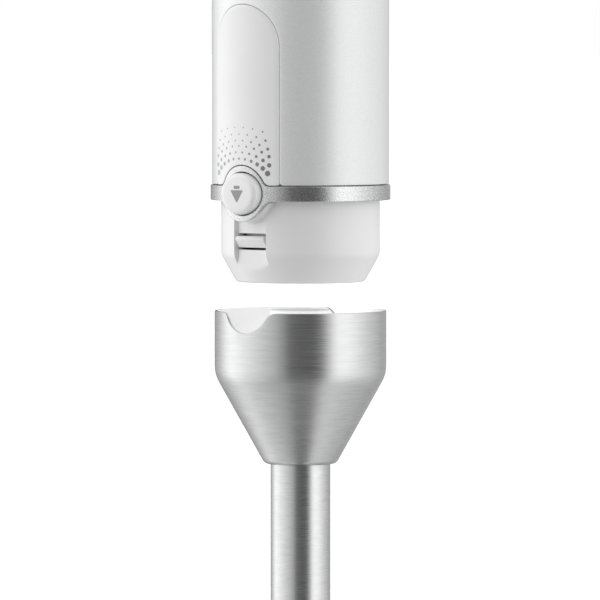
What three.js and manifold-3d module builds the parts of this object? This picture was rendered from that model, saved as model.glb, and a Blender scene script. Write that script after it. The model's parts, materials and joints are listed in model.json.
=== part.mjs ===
// A corded immersion blender: a round motor unit whose stainless blending foot pulls off its neck.
// Millimetres, +Z up, with the controls and one release button on the front, at -Y.
// The origin is on the axis, in the middle of the hand grip.
// The foot's pieces are drawn where they dock, and its group hangs FOOT_DROP below that, pulled free.
import * as THREE from "three";
import { mergeVertices } from "three/addons/utils/BufferGeometryUtils.js";
import Module from "manifold-3d";

const wasm = await Module();
wasm.setup();

// Fineness
const SMOOTH = 40; // sides of the large turned pieces that fit inside one another
const ROUND = 24; // sides of a medium one
const FINE = 14; // sides of a small one
const ARC_STEP = Math.PI / 6; // turn of one facet of a rounded corner
const GAP = 0.3; // between pieces that touch

// Motor unit
const BODY_R = 31;
const BODY_INNER_R = 28.8;
const BODY_TOP = 78;
const POCKET_R = 30.1; // floor of the pockets that the panels sit in
const PANEL_R = 31.45;
const PANEL_INNER_R = 30.4;
const PANEL_TOP = -11.7;
const PANEL_HALF_ARC = 15.3; // half the width of the front panel, measured round the body
const CONTROLS = { halfArc: 10, low: 14, high: 66 };
const POWER = { z: 52, radius: 7 };
const TURBO = { z: 29, radius: 5.5 };
const CAP_TOP = 88;
const DIAL_Y = -6;
const DIAL_R = 13;
const INLET_Y = 18.5;
const INLET_BORE_R = 3.2;

// Band, neck and release latches
const RING_R = 31.5;
const RING_INNER_R = 28.5;
const RING_LOW = -80;
const RING_HIGH = -74.7;
const BUTTON_Z = (RING_LOW + RING_HIGH) / 2;
const BULGE_R = 9.6; // of the band, round each release button
const BULGE_BACK_R = 30.3;
const BOSS_R = 9.3; // of the neck, behind the bulge
const BUTTON_HOLE_R = 7.6;
const BUTTON_R = 7.25;
const BUTTON_FACE = 34.2;
const BUTTON_BACK = 21.8;
const NECK_R = 27.8;
const NECK_LOW = -108.7;
const NECK_BEND = -99.1;
const NECK_TIP_R = 22.5;
const SPIGOT_R = 28.2;
const SPIGOT_TOP = -64;
const NECK_BORE_R = 11.3;
const NECK_BORE_TOP = -77;
const NECK_TUBE_R = 13.3;
const CHANNEL_HALF = 7.15; // half the width of the groove that the foot's catch slides up
const CHANNEL_FLOOR = 25.2;
const CHANNEL_TOP = -85.5;
const LATCH_HALF = 6.4;
const LATCH_LOW = -96.2;
const LATCH_HIGH = -92.2;
const LATCH_REACH = 27.5;
const LATCH_LIP = 25.4; // reach of the latch's lower edge, below its slope
const ARM_FRONT = 21.5;
const ARM_BACK = 19;
const ARM_TOP = -71;

// Motor
const SHAFT_R = 3;
const STATOR_R = 24;
const STATOR_BORE_R = 14.3;
const STATOR_LOW = -36;
const STATOR_HIGH = -8;
const COIL_OVERHANG = 4;
const POLE_HALF = 7;
const ARMATURE_R = 13.9;
const FAN_LOW = -49;
const BRUSH_Z = 7;
const COMMUTATOR_R = 6.5;
const LOWER_PLATE = -60.5;
const UPPER_PLATE = 16;
const PLATE = 3;
const BEARING = { radius: 8, height: 5 };
const BOLT_Y = 22.4;
const DECK_Z = 28; // shelf of the chassis, above the motor
const BOARD_Y = -20.2;
const HEX_R = 3.7; // corners of the drive coupler's hexagon
const HEX_LOW = -100;

// Blending foot, where it docks
const FOOT_DROP = 38.5;
const RIM_Z = RING_LOW - GAP;
const COLLAR_R = 30.1;
const COLLAR_WALL = 0.7;
const COLLAR_BEND = -102.7;
const COLLAR_LOW = -134.1;
const COLLAR_FOOT_R = 12.55;
const SOCKET_R = 28.2;
const SOCKET_BEND = -98.8;
const SOCKET_FLOOR_R = 23.1;
const SOCKET_FLOOR = NECK_LOW - 0.6;
const TOWER_R = 10.7;
const TOWER_BORE_R = 8.2;
const TOWER_MOUTH_R = 4.3;
const CATCH_LOW = LATCH_HIGH + GAP;
const CATCH_HEIGHT = 1.8;
const CATCH_REACH = 25.7;
const TUBE_R = 10.5;
const TUBE_INNER_R = 9.7;
const TUBE_TOP = -112.4;
const GUARD_TOP = -256;
const GUARD_R = 32;
const GUARD_LOW = -296.5;
const GUARD_WALL = 1.2;
const BLADE_Z = -286;
const BLADE_REACH = 24;

// Turns a closed mesh into a solid that can be joined and cut.
function solid(geometry) {
  const bare = geometry.clone();
  bare.deleteAttribute("normal");
  bare.deleteAttribute("uv");
  const merged = mergeVertices(bare, 1e-4);
  return new wasm.Manifold(
    new wasm.Mesh({
      numProp: 3,
      vertProperties: merged.attributes.position.array,
      triVerts: new Uint32Array(merged.index.array),
    }),
  );
}

// Turns a solid back into a mesh's geometry.
function surface(body) {
  const mesh = body.getMesh();
  const stride = mesh.numProp;
  const xyz = new Float32Array(mesh.numVert * 3);
  for (let i = 0; i < mesh.numVert; i++) {
    xyz.set(mesh.vertProperties.subarray(i * stride, i * stride + 3), i * 3);
  }
  const geometry = new THREE.BufferGeometry();
  geometry.setAttribute("position", new THREE.BufferAttribute(xyz, 3));
  geometry.setIndex(new THREE.BufferAttribute(mesh.triVerts, 1));
  geometry.computeVertexNormals();
  return geometry;
}

// Rounds the corners of an outline that carry a radius: [x, y] stays sharp, [x, y, radius] doesn't.
function rounded(corners) {
  const origin = new THREE.Vector2();
  return corners.flatMap(([x, y, radius = 0], i) => {
    if (radius === 0) return [[x, y]];
    const corner = new THREE.Vector2(x, y);
    const sides = [corners.at(i - 1), corners[(i + 1) % corners.length]].map(([u, v]) =>
      new THREE.Vector2(u, v).sub(corner).normalize(),
    );
    const half = Math.acos(sides[0].dot(sides[1])) / 2;
    const inward = sides[0].clone().add(sides[1]).normalize();
    const centre = corner.clone().addScaledVector(inward, radius / Math.sin(half));
    const start = corner.clone().addScaledVector(sides[0], radius / Math.tan(half)).sub(centre);
    const turn = -Math.sign(sides[0].cross(sides[1])) * (Math.PI - 2 * half);
    const steps = Math.max(1, Math.round(Math.abs(turn) / ARC_STEP));
    return Array.from({ length: steps + 1 }, (_, k) => {
      const point = start.clone().rotateAround(origin, (turn * k) / steps).add(centre);
      return [point.x, point.y];
    });
  });
}

// A closed [radius, height] outline, counter-clockwise, turned about Z. It may start and end on the axis.
function turned(profile, sides = ROUND) {
  const points = profile.map(([r, z]) => new THREE.Vector2(r, z));
  const onAxis = profile[0][0] === 0 && profile.at(-1)[0] === 0;
  if (!onAxis) points.push(points[0].clone());
  return solid(new THREE.LatheGeometry(points, sides).rotateX(Math.PI / 2));
}

function pipe(outer, inner, low, high, sides = ROUND) {
  return turned([[inner, low], [outer, low], [outer, high], [inner, high]], sides);
}

function rod(radius, low, high, sides = FINE) {
  return turned([[0, low], [radius, low], [radius, high], [0, high]], sides);
}

// A box between two opposite corners.
function block([x0, y0, z0], [x1, y1, z1]) {
  const geometry = new THREE.BoxGeometry(x1 - x0, y1 - y0, z1 - z0);
  return solid(geometry.translate((x0 + x1) / 2, (y0 + y1) / 2, (z0 + z1) / 2));
}

function extruded(points, depth) {
  const shape = new THREE.Shape(points.map(([x, y]) => new THREE.Vector2(x, y)));
  return new THREE.ExtrudeGeometry(shape, { depth, bevelEnabled: false });
}

// A plan outline, in X and Y, standing between two heights.
function standing(points, low, high) {
  return solid(extruded(points, high - low).translate(0, 0, low));
}

// A front outline, in X and Z, running forwards between two distances from the axis.
function forward(points, near, far) {
  return solid(extruded(points, far - near).rotateX(Math.PI / 2).translate(0, -near, 0));
}

function circle(radius, x, y, sides = FINE) {
  return Array.from({ length: sides }, (_, i) => {
    const turn = (2 * Math.PI * i) / sides;
    return [x + radius * Math.cos(turn), y + radius * Math.sin(turn)];
  });
}

const frontRod = (radius, z, near, far, sides) => forward(circle(radius, 0, z, sides), near, far);
const turnedAway = (body) => body.rotate([0, 0, 180]);
const bothSides = (body) => body.add(turnedAway(body));
const union = (bodies) => bodies.reduce((all, body) => all.add(body));
const copies = (body, count) =>
  union(Array.from({ length: count }, (_, i) => body.rotate([0, 0, (360 * i) / count])));

class Helix extends THREE.Curve {
  constructor(radius, length, turns) {
    super();
    Object.assign(this, { radius, length, turns });
  }
  getPoint(t, target = new THREE.Vector3()) {
    const turn = 2 * Math.PI * this.turns * t;
    const { radius, length } = this;
    return target.set(radius * Math.cos(turn), radius * Math.sin(turn), length * t);
  }
}

// A coil spring along Y at height z, between two distances in front of the axis.
function frontSpring(radius, wire, near, far, z, turns = 3) {
  const helix = new Helix(radius, far - near - 2 * wire, turns);
  const section = new THREE.Shape(circle(wire, 0, 0, 4).map(([x, y]) => new THREE.Vector2(x, y)));
  const options = { steps: turns * 9, bevelEnabled: false, extrudePath: helix };
  const coil = solid(new THREE.ExtrudeGeometry(section, options));
  return coil.rotate([90, 0, 0]).translate([0, -near - wire, z]);
}

function paint(color, roughness, metalness = 0) {
  return new THREE.MeshStandardMaterial({ color, roughness, metalness });
}

const FINISH = {
  pearl: paint(0xd6d8da, 0.35, 0.3),
  white: paint(0xf1f1f1, 0.3),
  satin: paint(0x9c9c9c, 0.35, 0.9),
  brushed: paint(0xb6b6b6, 0.3, 1),
  steel: paint(0xa2a5a8, 0.3, 1),
  lamination: paint(0x5b5e62, 0.6, 0.8),
  copper: paint(0xb0663a, 0.4, 0.9),
  brass: paint(0xb59a4c, 0.35, 1),
  carbon: paint(0x2b2b2d, 0.8),
  rubber: paint(0x2a2a2a, 0.9),
  grey: paint(0x8b8e91, 0.5),
  dark: paint(0x3a3c3f, 0.5),
  board: paint(0x2f6b3c, 0.6),
};

const blender = new THREE.Group();
const motorUnit = new THREE.Group();
const foot = new THREE.Group();
foot.position.z = -FOOT_DROP;
blender.add(motorUnit, foot);

function fit(group, name, body, finish) {
  const mesh = new THREE.Mesh(surface(body), finish);
  mesh.name = name;
  group.add(mesh);
}

// Shapes that several pieces share

// The outline of the band's bulge, grown by extra: a circle that runs out softly into the band's edges.
function bulge(radius, extra, near, far) {
  const grown = radius + extra;
  const edges = [
    { z: RING_HIGH + extra, up: 1, spread: 2.2 },
    { z: RING_LOW - extra, up: -1, spread: 3 },
  ];
  const skirts = edges.map(({ z, up, spread }) => {
    const rise = Math.abs(z - BUTTON_Z);
    const meets = rise + spread * 0.9;
    const edge = Math.sqrt(grown ** 2 - rise ** 2);
    const top = Math.sqrt(grown ** 2 - meets ** 2);
    const curve = new THREE.QuadraticBezierCurve(
      new THREE.Vector2(edge + spread, z),
      new THREE.Vector2(edge - 0.1, z),
      new THREE.Vector2(top, BUTTON_Z + up * meets),
    );
    const right = curve.getPoints(3).map((p) => [p.x, p.y]);
    const left = right.map(([x, y]) => [-x, y]).reverse();
    const outline = [[edge + spread, z - up], ...right, ...left, [-edge - spread, z - up]];
    return forward(up > 0 ? outline : outline.reverse(), near, far);
  });
  return union([frontRod(grown, BUTTON_Z, near, far, 30), ...skirts]);
}

// The front outline of a panel that wraps the body, with round ends at the top or at both ends.
function pill(halfArc, low, high, roundEnds) {
  const across = (arc) => BODY_R * Math.sin(arc / BODY_R);
  const steps = 12;
  const top = Array.from({ length: steps + 1 }, (_, i) => {
    const turn = (Math.PI * i) / steps;
    return [across(halfArc * Math.cos(turn)), high - halfArc + halfArc * Math.sin(turn)];
  });
  if (roundEnds) return [...top, ...top.map(([x, z]) => [-x, low + high - z])];
  return [...top, [-across(halfArc), low], [across(halfArc), low]];
}

const releaseHoles = () => bothSides(frontRod(BUTTON_HOLE_R, BUTTON_Z, 18, 40, 24));

function controlsOutline(extra) {
  return pill(CONTROLS.halfArc + extra, CONTROLS.low - extra, CONTROLS.high + extra, true);
}

function controlHoles() {
  return union([POWER, TURBO].map(({ z, radius }) => frontRod(radius + GAP, z, 20, 40, 20)));
}

// Outer casing of the motor unit

function bodySleeve() {
  const low = RING_HIGH + GAP;
  const skin = pipe(BODY_R + 2, POCKET_R, low - 5, BODY_TOP - 5, SMOOTH);
  const pockets = union([
    forward(pill(PANEL_HALF_ARC + GAP, low - 5, PANEL_TOP + GAP, false), 15, 40),
    forward(controlsOutline(GAP), 15, 40),
  ]);
  return pipe(BODY_R, BODY_INNER_R, low, BODY_TOP, SMOOTH)
    .subtract(skin.intersect(pockets))
    .subtract(controlHoles())
    .subtract(bothSides(bulge(BULGE_R, GAP, 20, 40)))
    .subtract(ventSlots());
}

// A slot through the wall on the +X side, copied to two groups of three round the back.
function ventGroups(slot) {
  const angles = [-3, -2, -1, 1, 2, 3].map((i) => 90 + i * 9 + Math.sign(i) * 13);
  return union(angles.map((angle) => slot.rotate([0, 0, angle])));
}

const ventSlots = () => ventGroups(block([24, -0.9, -66], [40, 0.9, -55]));

function frontPanel() {
  const low = RING_HIGH + GAP;
  return pipe(PANEL_R, PANEL_INNER_R, low, PANEL_TOP + 1, SMOOTH)
    .intersect(forward(pill(PANEL_HALF_ARC, low - 1, PANEL_TOP, false), 15, 40))
    .subtract(bulge(BULGE_R, GAP, 20, 40));
}

function controlPanel() {
  return pipe(PANEL_R, PANEL_INNER_R, CONTROLS.low - 1, CONTROLS.high + 1, SMOOTH)
    .intersect(forward(controlsOutline(0), 15, 40))
    .subtract(controlHoles());
}

function bandRing() {
  const band = rounded([
    [RING_INNER_R, RING_LOW], [RING_R, RING_LOW, 0.7],
    [RING_R, RING_HIGH, 0.3], [RING_INNER_R, RING_HIGH],
  ]);
  const above = pipe(RING_R, RING_INNER_R, RING_LOW + 1, RING_HIGH + 12, SMOOTH);
  const below = pipe(RING_R, BULGE_BACK_R, RING_LOW - 12, RING_LOW + 1, SMOOTH);
  return turned(band, SMOOTH)
    .add(above.add(below).intersect(bothSides(bulge(BULGE_R, 0, 20, 40))))
    .subtract(releaseHoles());
}

function neckAdapter() {
  const wall = 2.2;
  const profile = rounded([
    [NECK_BORE_R, NECK_LOW], [NECK_TIP_R, NECK_LOW, 1], [NECK_R, NECK_BEND, 2],
    [NECK_R, RING_LOW - 0.2], [SPIGOT_R, RING_LOW - 0.2], [SPIGOT_R, SPIGOT_TOP],
    [SPIGOT_R - wall, SPIGOT_TOP], [SPIGOT_R - wall, -84], [23.4, -86], [23.4, -100], [19.6, -106.3],
    [NECK_TUBE_R, -106.3], [NECK_TUBE_R, NECK_BORE_TOP + 2], [5, NECK_BORE_TOP + 2],
    [5, NECK_BORE_TOP], [NECK_BORE_R, NECK_BORE_TOP],
  ]);
  const bosses = pipe(30, 24.5, RING_LOW - 12, RING_LOW - GAP, SMOOTH)
    .intersect(bothSides(frontRod(BOSS_R, BUTTON_Z, 20, 40, 24)));
  const groove = block([-CHANNEL_HALF, -40, NECK_LOW - 1], [CHANNEL_HALF, -CHANNEL_FLOOR, CHANNEL_TOP]);
  const window = block(
    [-LATCH_HALF - GAP, -40, LATCH_LOW - GAP], [LATCH_HALF + GAP, -20, LATCH_HIGH + GAP],
  );
  return turned(profile, SMOOTH)
    .subtract(bothSides(groove.add(window)))
    .add(bosses)
    .subtract(releaseHoles());
}

function topCap() {
  const shell = rounded([
    [26.3, 70], [28.5, 70], [28.5, BODY_TOP + GAP], [BODY_R, BODY_TOP + GAP], [BODY_R, CAP_TOP, 5],
    [0, CAP_TOP], [0, CAP_TOP - 4], [26.3, CAP_TOP - 4, 3],
  ]);
  const dish = rod(DIAL_R + 1, CAP_TOP - 1.6, CAP_TOP + 1, ROUND).translate([0, DIAL_Y, 0]);
  const spindleHole = rod(SHAFT_R + 0.5, CAP_TOP - 10, CAP_TOP).translate([0, DIAL_Y, 0]);
  const inletHole = rod(4.5, CAP_TOP - 10, CAP_TOP + 1).translate([0, INLET_Y, 0]);
  return turned(shell, SMOOTH).subtract(dish).subtract(spindleHole).subtract(inletHole);
}

function cordInlet() {
  const sleeve = rounded([
    [INLET_BORE_R, CAP_TOP - 7], [4.2, CAP_TOP - 7], [4.2, CAP_TOP + GAP], [6, CAP_TOP + GAP],
    [6, CAP_TOP + 3, 1.2], [INLET_BORE_R, CAP_TOP + 3],
  ]);
  return turned(sleeve, FINE).translate([0, INLET_Y, 0]);
}

// Controls

function speedDial() {
  const low = CAP_TOP - 1.3;
  const knob = rounded([
    [0, low], [DIAL_R, low], [DIAL_R, low + 7, 1.5], [9.5, low + 7], [8, low + 6.3], [0, low + 6.3],
  ]);
  const flute = rod(1, low + 1, low + 8, 6).translate([DIAL_R + 0.3, 0, 0]);
  return turned(knob)
    .subtract(copies(flute, 12))
    .add(rod(SHAFT_R, low - 8, low + 1))
    .translate([0, DIAL_Y, 0]);
}

function potentiometer() {
  const top = CAP_TOP - 4 - GAP;
  const can = block([-9, -9, top - 8.5], [9, 9, top]);
  return can.subtract(rod(SHAFT_R + 0.35, top - 6.5, top + 1)).translate([0, DIAL_Y, 0]);
}

// A push button for the front panel: a cap, and a flange that keeps it in.
function pushButton({ z, radius }) {
  const cap = rounded([[0, 26.2], [radius, 26.2], [radius, 32.9, 0.8], [0, 32.9]]);
  const flange = rod(radius + 1, 26.1, 27.3);
  return turned(cap, 20).add(flange).rotate([90, 0, 0]).translate([0, 0, z]);
}

const buttonSpring = ({ z }) => frontSpring(4.7, 0.3, -BOARD_Y + GAP, 25.8, z);

function controlSwitch({ z }) {
  const body = block([-3, BOARD_Y - 2.8, z - 3], [3, BOARD_Y - GAP, z + 3]);
  return body.add(frontRod(1.2, z, -BOARD_Y + 2, -BOARD_Y + 3.4, 10));
}

const controlBoard = () => block([-11, BOARD_Y, 22.5], [11, BOARD_Y + 1.4, 66]);

// Release latches. The front ones are drawn, and the rear ones are the same turned half round.

function releaseButton() {
  const profile = rounded([
    [0, BUTTON_BACK], [BUTTON_R, BUTTON_BACK], [BUTTON_R, BUTTON_FACE, 1], [0, BUTTON_FACE],
  ]);
  return turned(profile).rotate([90, 0, 0]).translate([0, 0, BUTTON_Z]);
}

function releaseLatch() {
  const side = [
    [ARM_BACK, LATCH_LOW], [LATCH_LIP, LATCH_LOW], [LATCH_REACH, LATCH_HIGH - 0.6],
    [LATCH_REACH, LATCH_HIGH], [ARM_FRONT, LATCH_HIGH], [ARM_FRONT, ARM_TOP], [ARM_BACK, ARM_TOP],
  ];
  const bar = solid(extruded(side, 2 * LATCH_HALF));
  const round = rod(NECK_R - 0.1, LATCH_LOW - 1, ARM_TOP + 1, SMOOTH);
  return bar.rotate([90, 0, -90]).translate([LATCH_HALF, 0, 0]).intersect(round);
}

const releaseSpring = () => frontSpring(2.2, 0.35, NECK_TUBE_R + GAP, ARM_BACK - GAP, -89);

// Motor, standing still

function statorCore() {
  const ring = pipe(STATOR_R, 19.5, STATOR_LOW, STATOR_HIGH);
  const shoes = pipe(16, STATOR_BORE_R, STATOR_LOW, STATOR_HIGH)
    .intersect(block([-20, -12, STATOR_LOW], [20, 12, STATOR_HIGH]));
  const poles = block([-21, -POLE_HALF, STATOR_LOW], [21, POLE_HALF, STATOR_HIGH])
    .subtract(rod(15.5, STATOR_LOW - 1, STATOR_HIGH + 1, ROUND));
  const flats = block([-30, -20.3, STATOR_LOW], [30, 20.3, STATOR_HIGH]);
  return ring.add(shoes).add(poles).intersect(flats);
}

function fieldCoil() {
  const low = STATOR_LOW - COIL_OVERHANG;
  const high = STATOR_HIGH + COIL_OVERHANG;
  const inside = POLE_HALF + GAP;
  return pipe(19.2, 16.3, low, high)
    .intersect(block([0, -11.5, low], [25, 11.5, high]))
    .subtract(block([0, -inside, STATOR_LOW - GAP], [25, inside, STATOR_HIGH + GAP]));
}

function brushHolder() {
  const box = block([8.4, -4, BRUSH_Z - 4.5], [18, 4, UPPER_PLATE - GAP]);
  return box.subtract(block([8, -2.8, BRUSH_Z - 3.3], [17, 2.8, BRUSH_Z + 3.3]));
}

const carbonBrush = () =>
  block([COMMUTATOR_R + 0.4, -2.5, BRUSH_Z - 3], [16.5, 2.5, BRUSH_Z + 3]);

const motorBoltHoles = () => bothSides(rod(1.9, LOWER_PLATE - 1, DECK_Z + 5, 8).translate([0, BOLT_Y, 0]));

// An end plate of the motor: a plate with air holes, and a hub that holds a bearing.
function endPlate(low, deckScrews) {
  const seat = low + PLATE + GAP;
  const hub = seat + BEARING.height + GAP;
  const profile = [
    [5, low], [25.5, low], [25.5, low + PLATE], [10.3, low + PLATE], [10.3, hub],
    [BEARING.radius + GAP, hub], [BEARING.radius + GAP, low + PLATE], [5, low + PLATE],
  ];
  const air = rod(3.5, low - 1, low + PLATE + 1, 8).translate([17, 0, 0]).rotate([0, 0, 45]);
  const plate = turned(profile).subtract(copies(air, 4)).subtract(motorBoltHoles());
  return deckScrews ? plate.subtract(deckScrewHoles()) : plate;
}

const deckScrewHoles = () =>
  bothSides(rod(1.9, UPPER_PLATE - 1, DECK_Z + 5, 8).translate([21, 0, 0]));

function bearing(plateLow) {
  const low = plateLow + PLATE + GAP;
  return pipe(BEARING.radius, SHAFT_R + GAP, low, low + BEARING.height, FINE);
}

// A cap screw standing at [x, y], from under its head down to its end.
function screw([x, y], underHead, end) {
  return rod(1.5, end, underHead + 1, 8).add(rod(2.7, underHead, underHead + 2, 10)).translate([x, y, 0]);
}

// The half tube behind the motor, with the shelf that carries the wiring.
function chassis() {
  const wall = pipe(28.4, 26.8, -58, 69).intersect(block([-30, 4, -58], [30, 30, 69]));
  const shelf = rod(27.5, DECK_Z, DECK_Z + 2, ROUND)
    .intersect(block([-30, -17.5, DECK_Z], [30, 30, DECK_Z + 2]))
    .subtract(rod(11, DECK_Z - 1, DECK_Z + 3));
  const slots = ventGroups(block([24, -1.6, -67], [40, 1.6, -53]));
  return wall.add(shelf).subtract(slots).subtract(deckScrewHoles());
}

const upperDamper = () =>
  pipe(13.5, 10.6, UPPER_PLATE + PLATE + GAP, DECK_Z - GAP, FINE);

const lowerDamper = () => pipe(28, 25, SPIGOT_TOP + GAP, LOWER_PLATE - GAP);

const capacitor = () => block([-9, 12.5, DECK_Z + 2 + GAP], [9, 21.5, DECK_Z + 18]);
const terminalBlock = () => block([-8, 14, 51], [8, 24.8, 63]);

// Rotor

function armatureCore() {
  const slot = block([7.5, -1.9, STATOR_LOW - 1], [16, 1.9, STATOR_HIGH + 1]);
  return pipe(ARMATURE_R, SHAFT_R + GAP, STATOR_LOW, STATOR_HIGH).subtract(copies(slot, 6));
}

function armatureWinding() {
  const low = STATOR_LOW - 4.5;
  const high = STATOR_HIGH + 4.5;
  const bars = copies(block([7.8, -1.6, low + 1], [13, 1.6, high - 1]), 6);
  const ends = pipe(12.5, 5, low, STATOR_LOW - GAP).add(pipe(12.5, 5, STATOR_HIGH + GAP, high));
  return bars.add(ends);
}

function commutator() {
  const groove = block([COMMUTATOR_R - 0.8, -0.25, 1], [10, 0.25, 13]);
  return pipe(COMMUTATOR_R, SHAFT_R + GAP, 2, 12, FINE).subtract(copies(groove, 8));
}

function coolingFan() {
  const vane = block([6, -0.6, FAN_LOW + 0.5], [19.5, 0.6, FAN_LOW + 6.5]).rotate([0, 0, 12]);
  return pipe(20, SHAFT_R + GAP, FAN_LOW, FAN_LOW + 1.2)
    .add(pipe(6.5, SHAFT_R + GAP, FAN_LOW, FAN_LOW + 6.5))
    .add(copies(vane, 7));
}

function driveCoupler() {
  return rod(4.6, -79, -66)
    .add(rod(HEX_R, HEX_LOW, -78.5, 6))
    .subtract(rod(SHAFT_R + GAP, -74, -65));
}

// Blending foot

// The collar's section, moved in by inset: a straight wall, a soft bend, a cone and a rounded foot.
function collarSide(inset) {
  return rounded([
    [COLLAR_R - inset, RIM_Z], [COLLAR_R - inset, COLLAR_BEND, 12],
    [COLLAR_FOOT_R - inset, COLLAR_LOW + inset, 2.8 - inset], [TUBE_R + GAP, COLLAR_LOW + inset],
  ]);
}

function funnelCollar() {
  const profile = [...collarSide(0), ...collarSide(COLLAR_WALL).reverse()];
  return turned(profile.reverse(), SMOOTH).subtract(bothSides(bulge(BULGE_R, GAP, 20, 40)));
}

function socketLiner() {
  const outer = COLLAR_R - COLLAR_WALL - GAP;
  const profile = rounded([
    [TOWER_BORE_R, TUBE_TOP + GAP], [TOWER_BORE_R + 4, TUBE_TOP + GAP],
    [TOWER_BORE_R + 4, SOCKET_FLOOR - 1.2], [SOCKET_FLOOR_R + 1, SOCKET_FLOOR - 1.2],
    [outer, -101.6, 8], [outer, RIM_Z + 0.1], [SOCKET_R, RIM_Z + 0.1], [SOCKET_R, SOCKET_BEND, 2],
    [SOCKET_FLOOR_R, SOCKET_FLOOR], [TOWER_R, SOCKET_FLOOR], [TOWER_R, RIM_Z + 0.25, 0.6],
    [TOWER_MOUTH_R, RIM_Z + 0.25], [TOWER_MOUTH_R, RIM_Z - 2], [TOWER_BORE_R, RIM_Z - 2],
  ]);
  const catchBar = rod(SOCKET_R + 0.5, CATCH_LOW, CATCH_LOW + CATCH_HEIGHT, SMOOTH)
    .intersect(bothSides(block([-LATCH_HALF, -40, -100], [LATCH_HALF, -CATCH_REACH, -80])));
  return turned(profile, SMOOTH).add(catchBar).subtract(bothSides(bulge(BULGE_R, 0.5, 20, 40)));
}

const shaftTube = () => pipe(TUBE_R, TUBE_INNER_R, GUARD_TOP + GAP, TUBE_TOP);

// A flared bell with four arches in its rim, and a collar for the lower bush inside its crown.
function bellGuard() {
  const side = (inset) => [
    [TUBE_R + 0.3 - inset, GUARD_TOP], [TUBE_R + 0.3 - inset, GUARD_TOP - 4 - inset, 4],
    [GUARD_R - 8 - inset, GUARD_TOP - 17 - inset, 14], [GUARD_R - inset, GUARD_LOW + 6, 10],
    [GUARD_R - inset, GUARD_LOW],
  ];
  const outer = rounded(side(0));
  const inner = rounded(side(GUARD_WALL)).reverse();
  const shell = turned([...outer, ...inner].reverse());
  const arch = rod(9, 20, 40, 20).rotate([0, 90, 0]).translate([0, 0, GUARD_LOW + 3]).rotate([0, 0, 45]);
  const seat = pipe(TUBE_R - 0.4, 7.3, GUARD_TOP - 12, GUARD_TOP - 1);
  return shell.add(seat).subtract(copies(arch, 4));
}

const upperBush = () => pipe(TUBE_INNER_R - GAP, SHAFT_R + GAP, -124, -114, FINE);
const lowerBush = () => pipe(7, SHAFT_R + GAP, GUARD_TOP - 11, GUARD_TOP - 1, FINE);
const shaftSeal = () => pipe(7, SHAFT_R + GAP, GUARD_TOP - 15, GUARD_TOP - 11 - GAP, FINE);

function drivenCoupler() {
  return rod(7.7, -106, RIM_Z - 3.5)
    .subtract(rod(HEX_R + 0.3, HEX_LOW - 1.2, -80, 6))
    .subtract(rod(SHAFT_R + GAP, -107, -102.5));
}

const driveShaft = () => rod(SHAFT_R, BLADE_Z - 5, -102.8);

function blade() {
  const wing = [
    [0, -4.5], [9, -4.2], [18, -3.4], [BLADE_REACH, 1], [BLADE_REACH - 2, 2.6], [12, 4.2], [0, 4.5],
  ];
  const flat = standing(wing, -0.7, 0.7);
  const raisedWing = flat.rotate([0, -8, 0]);
  const loweredWing = flat.rotate([0, 8, 180]);
  return rod(5.5, -1.4, 1.4).add(raisedWing).add(loweredWing)
    .subtract(rod(SHAFT_R + GAP, -5, 5))
    .translate([0, 0, BLADE_Z]);
}

function bladeNut() {
  const nut = rounded([[0, -6], [4.5, -6, 1], [4.5, -1.8], [0, -1.8]]);
  return turned(nut, 8).subtract(rod(SHAFT_R + GAP, -5.1, 0, 8)).translate([0, 0, BLADE_Z]);
}

fit(motorUnit, "body_sleeve", bodySleeve(), FINISH.pearl);
fit(motorUnit, "front_panel", frontPanel(), FINISH.white);
fit(motorUnit, "control_panel", controlPanel(), FINISH.white);
fit(motorUnit, "band_ring", bandRing(), FINISH.satin);
fit(motorUnit, "neck_adapter", neckAdapter(), FINISH.white);
fit(motorUnit, "top_cap", topCap(), FINISH.white);
fit(motorUnit, "cord_inlet", cordInlet(), FINISH.rubber);
fit(motorUnit, "speed_dial", speedDial(), FINISH.grey);
fit(motorUnit, "potentiometer", potentiometer(), FINISH.dark);
fit(motorUnit, "power_button", pushButton(POWER), FINISH.white);
fit(motorUnit, "turbo_button", pushButton(TURBO), FINISH.grey);
fit(motorUnit, "power_spring", buttonSpring(POWER), FINISH.steel);
fit(motorUnit, "turbo_spring", buttonSpring(TURBO), FINISH.steel);
fit(motorUnit, "power_switch", controlSwitch(POWER), FINISH.dark);
fit(motorUnit, "turbo_switch", controlSwitch(TURBO), FINISH.dark);
fit(motorUnit, "control_board", controlBoard(), FINISH.board);
fit(motorUnit, "capacitor", capacitor(), FINISH.grey);
fit(motorUnit, "terminal_block", terminalBlock(), FINISH.dark);
fit(motorUnit, "chassis", chassis(), FINISH.grey);

fit(motorUnit, "stator_core", statorCore(), FINISH.lamination);
fit(motorUnit, "upper_end_plate", endPlate(UPPER_PLATE, true), FINISH.grey);
fit(motorUnit, "lower_end_plate", endPlate(LOWER_PLATE, false), FINISH.grey);
fit(motorUnit, "upper_bearing", bearing(UPPER_PLATE), FINISH.steel);
fit(motorUnit, "lower_bearing", bearing(LOWER_PLATE), FINISH.steel);
fit(motorUnit, "upper_damper", upperDamper(), FINISH.rubber);
fit(motorUnit, "lower_damper", lowerDamper(), FINISH.rubber);
fit(motorUnit, "armature_core", armatureCore(), FINISH.lamination);
fit(motorUnit, "armature_winding", armatureWinding(), FINISH.copper);
fit(motorUnit, "motor_shaft", rod(SHAFT_R, -73.7, 27), FINISH.steel);
fit(motorUnit, "commutator", commutator(), FINISH.copper);
fit(motorUnit, "cooling_fan", coolingFan(), FINISH.grey);
fit(motorUnit, "drive_coupler", driveCoupler(), FINISH.dark);

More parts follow.
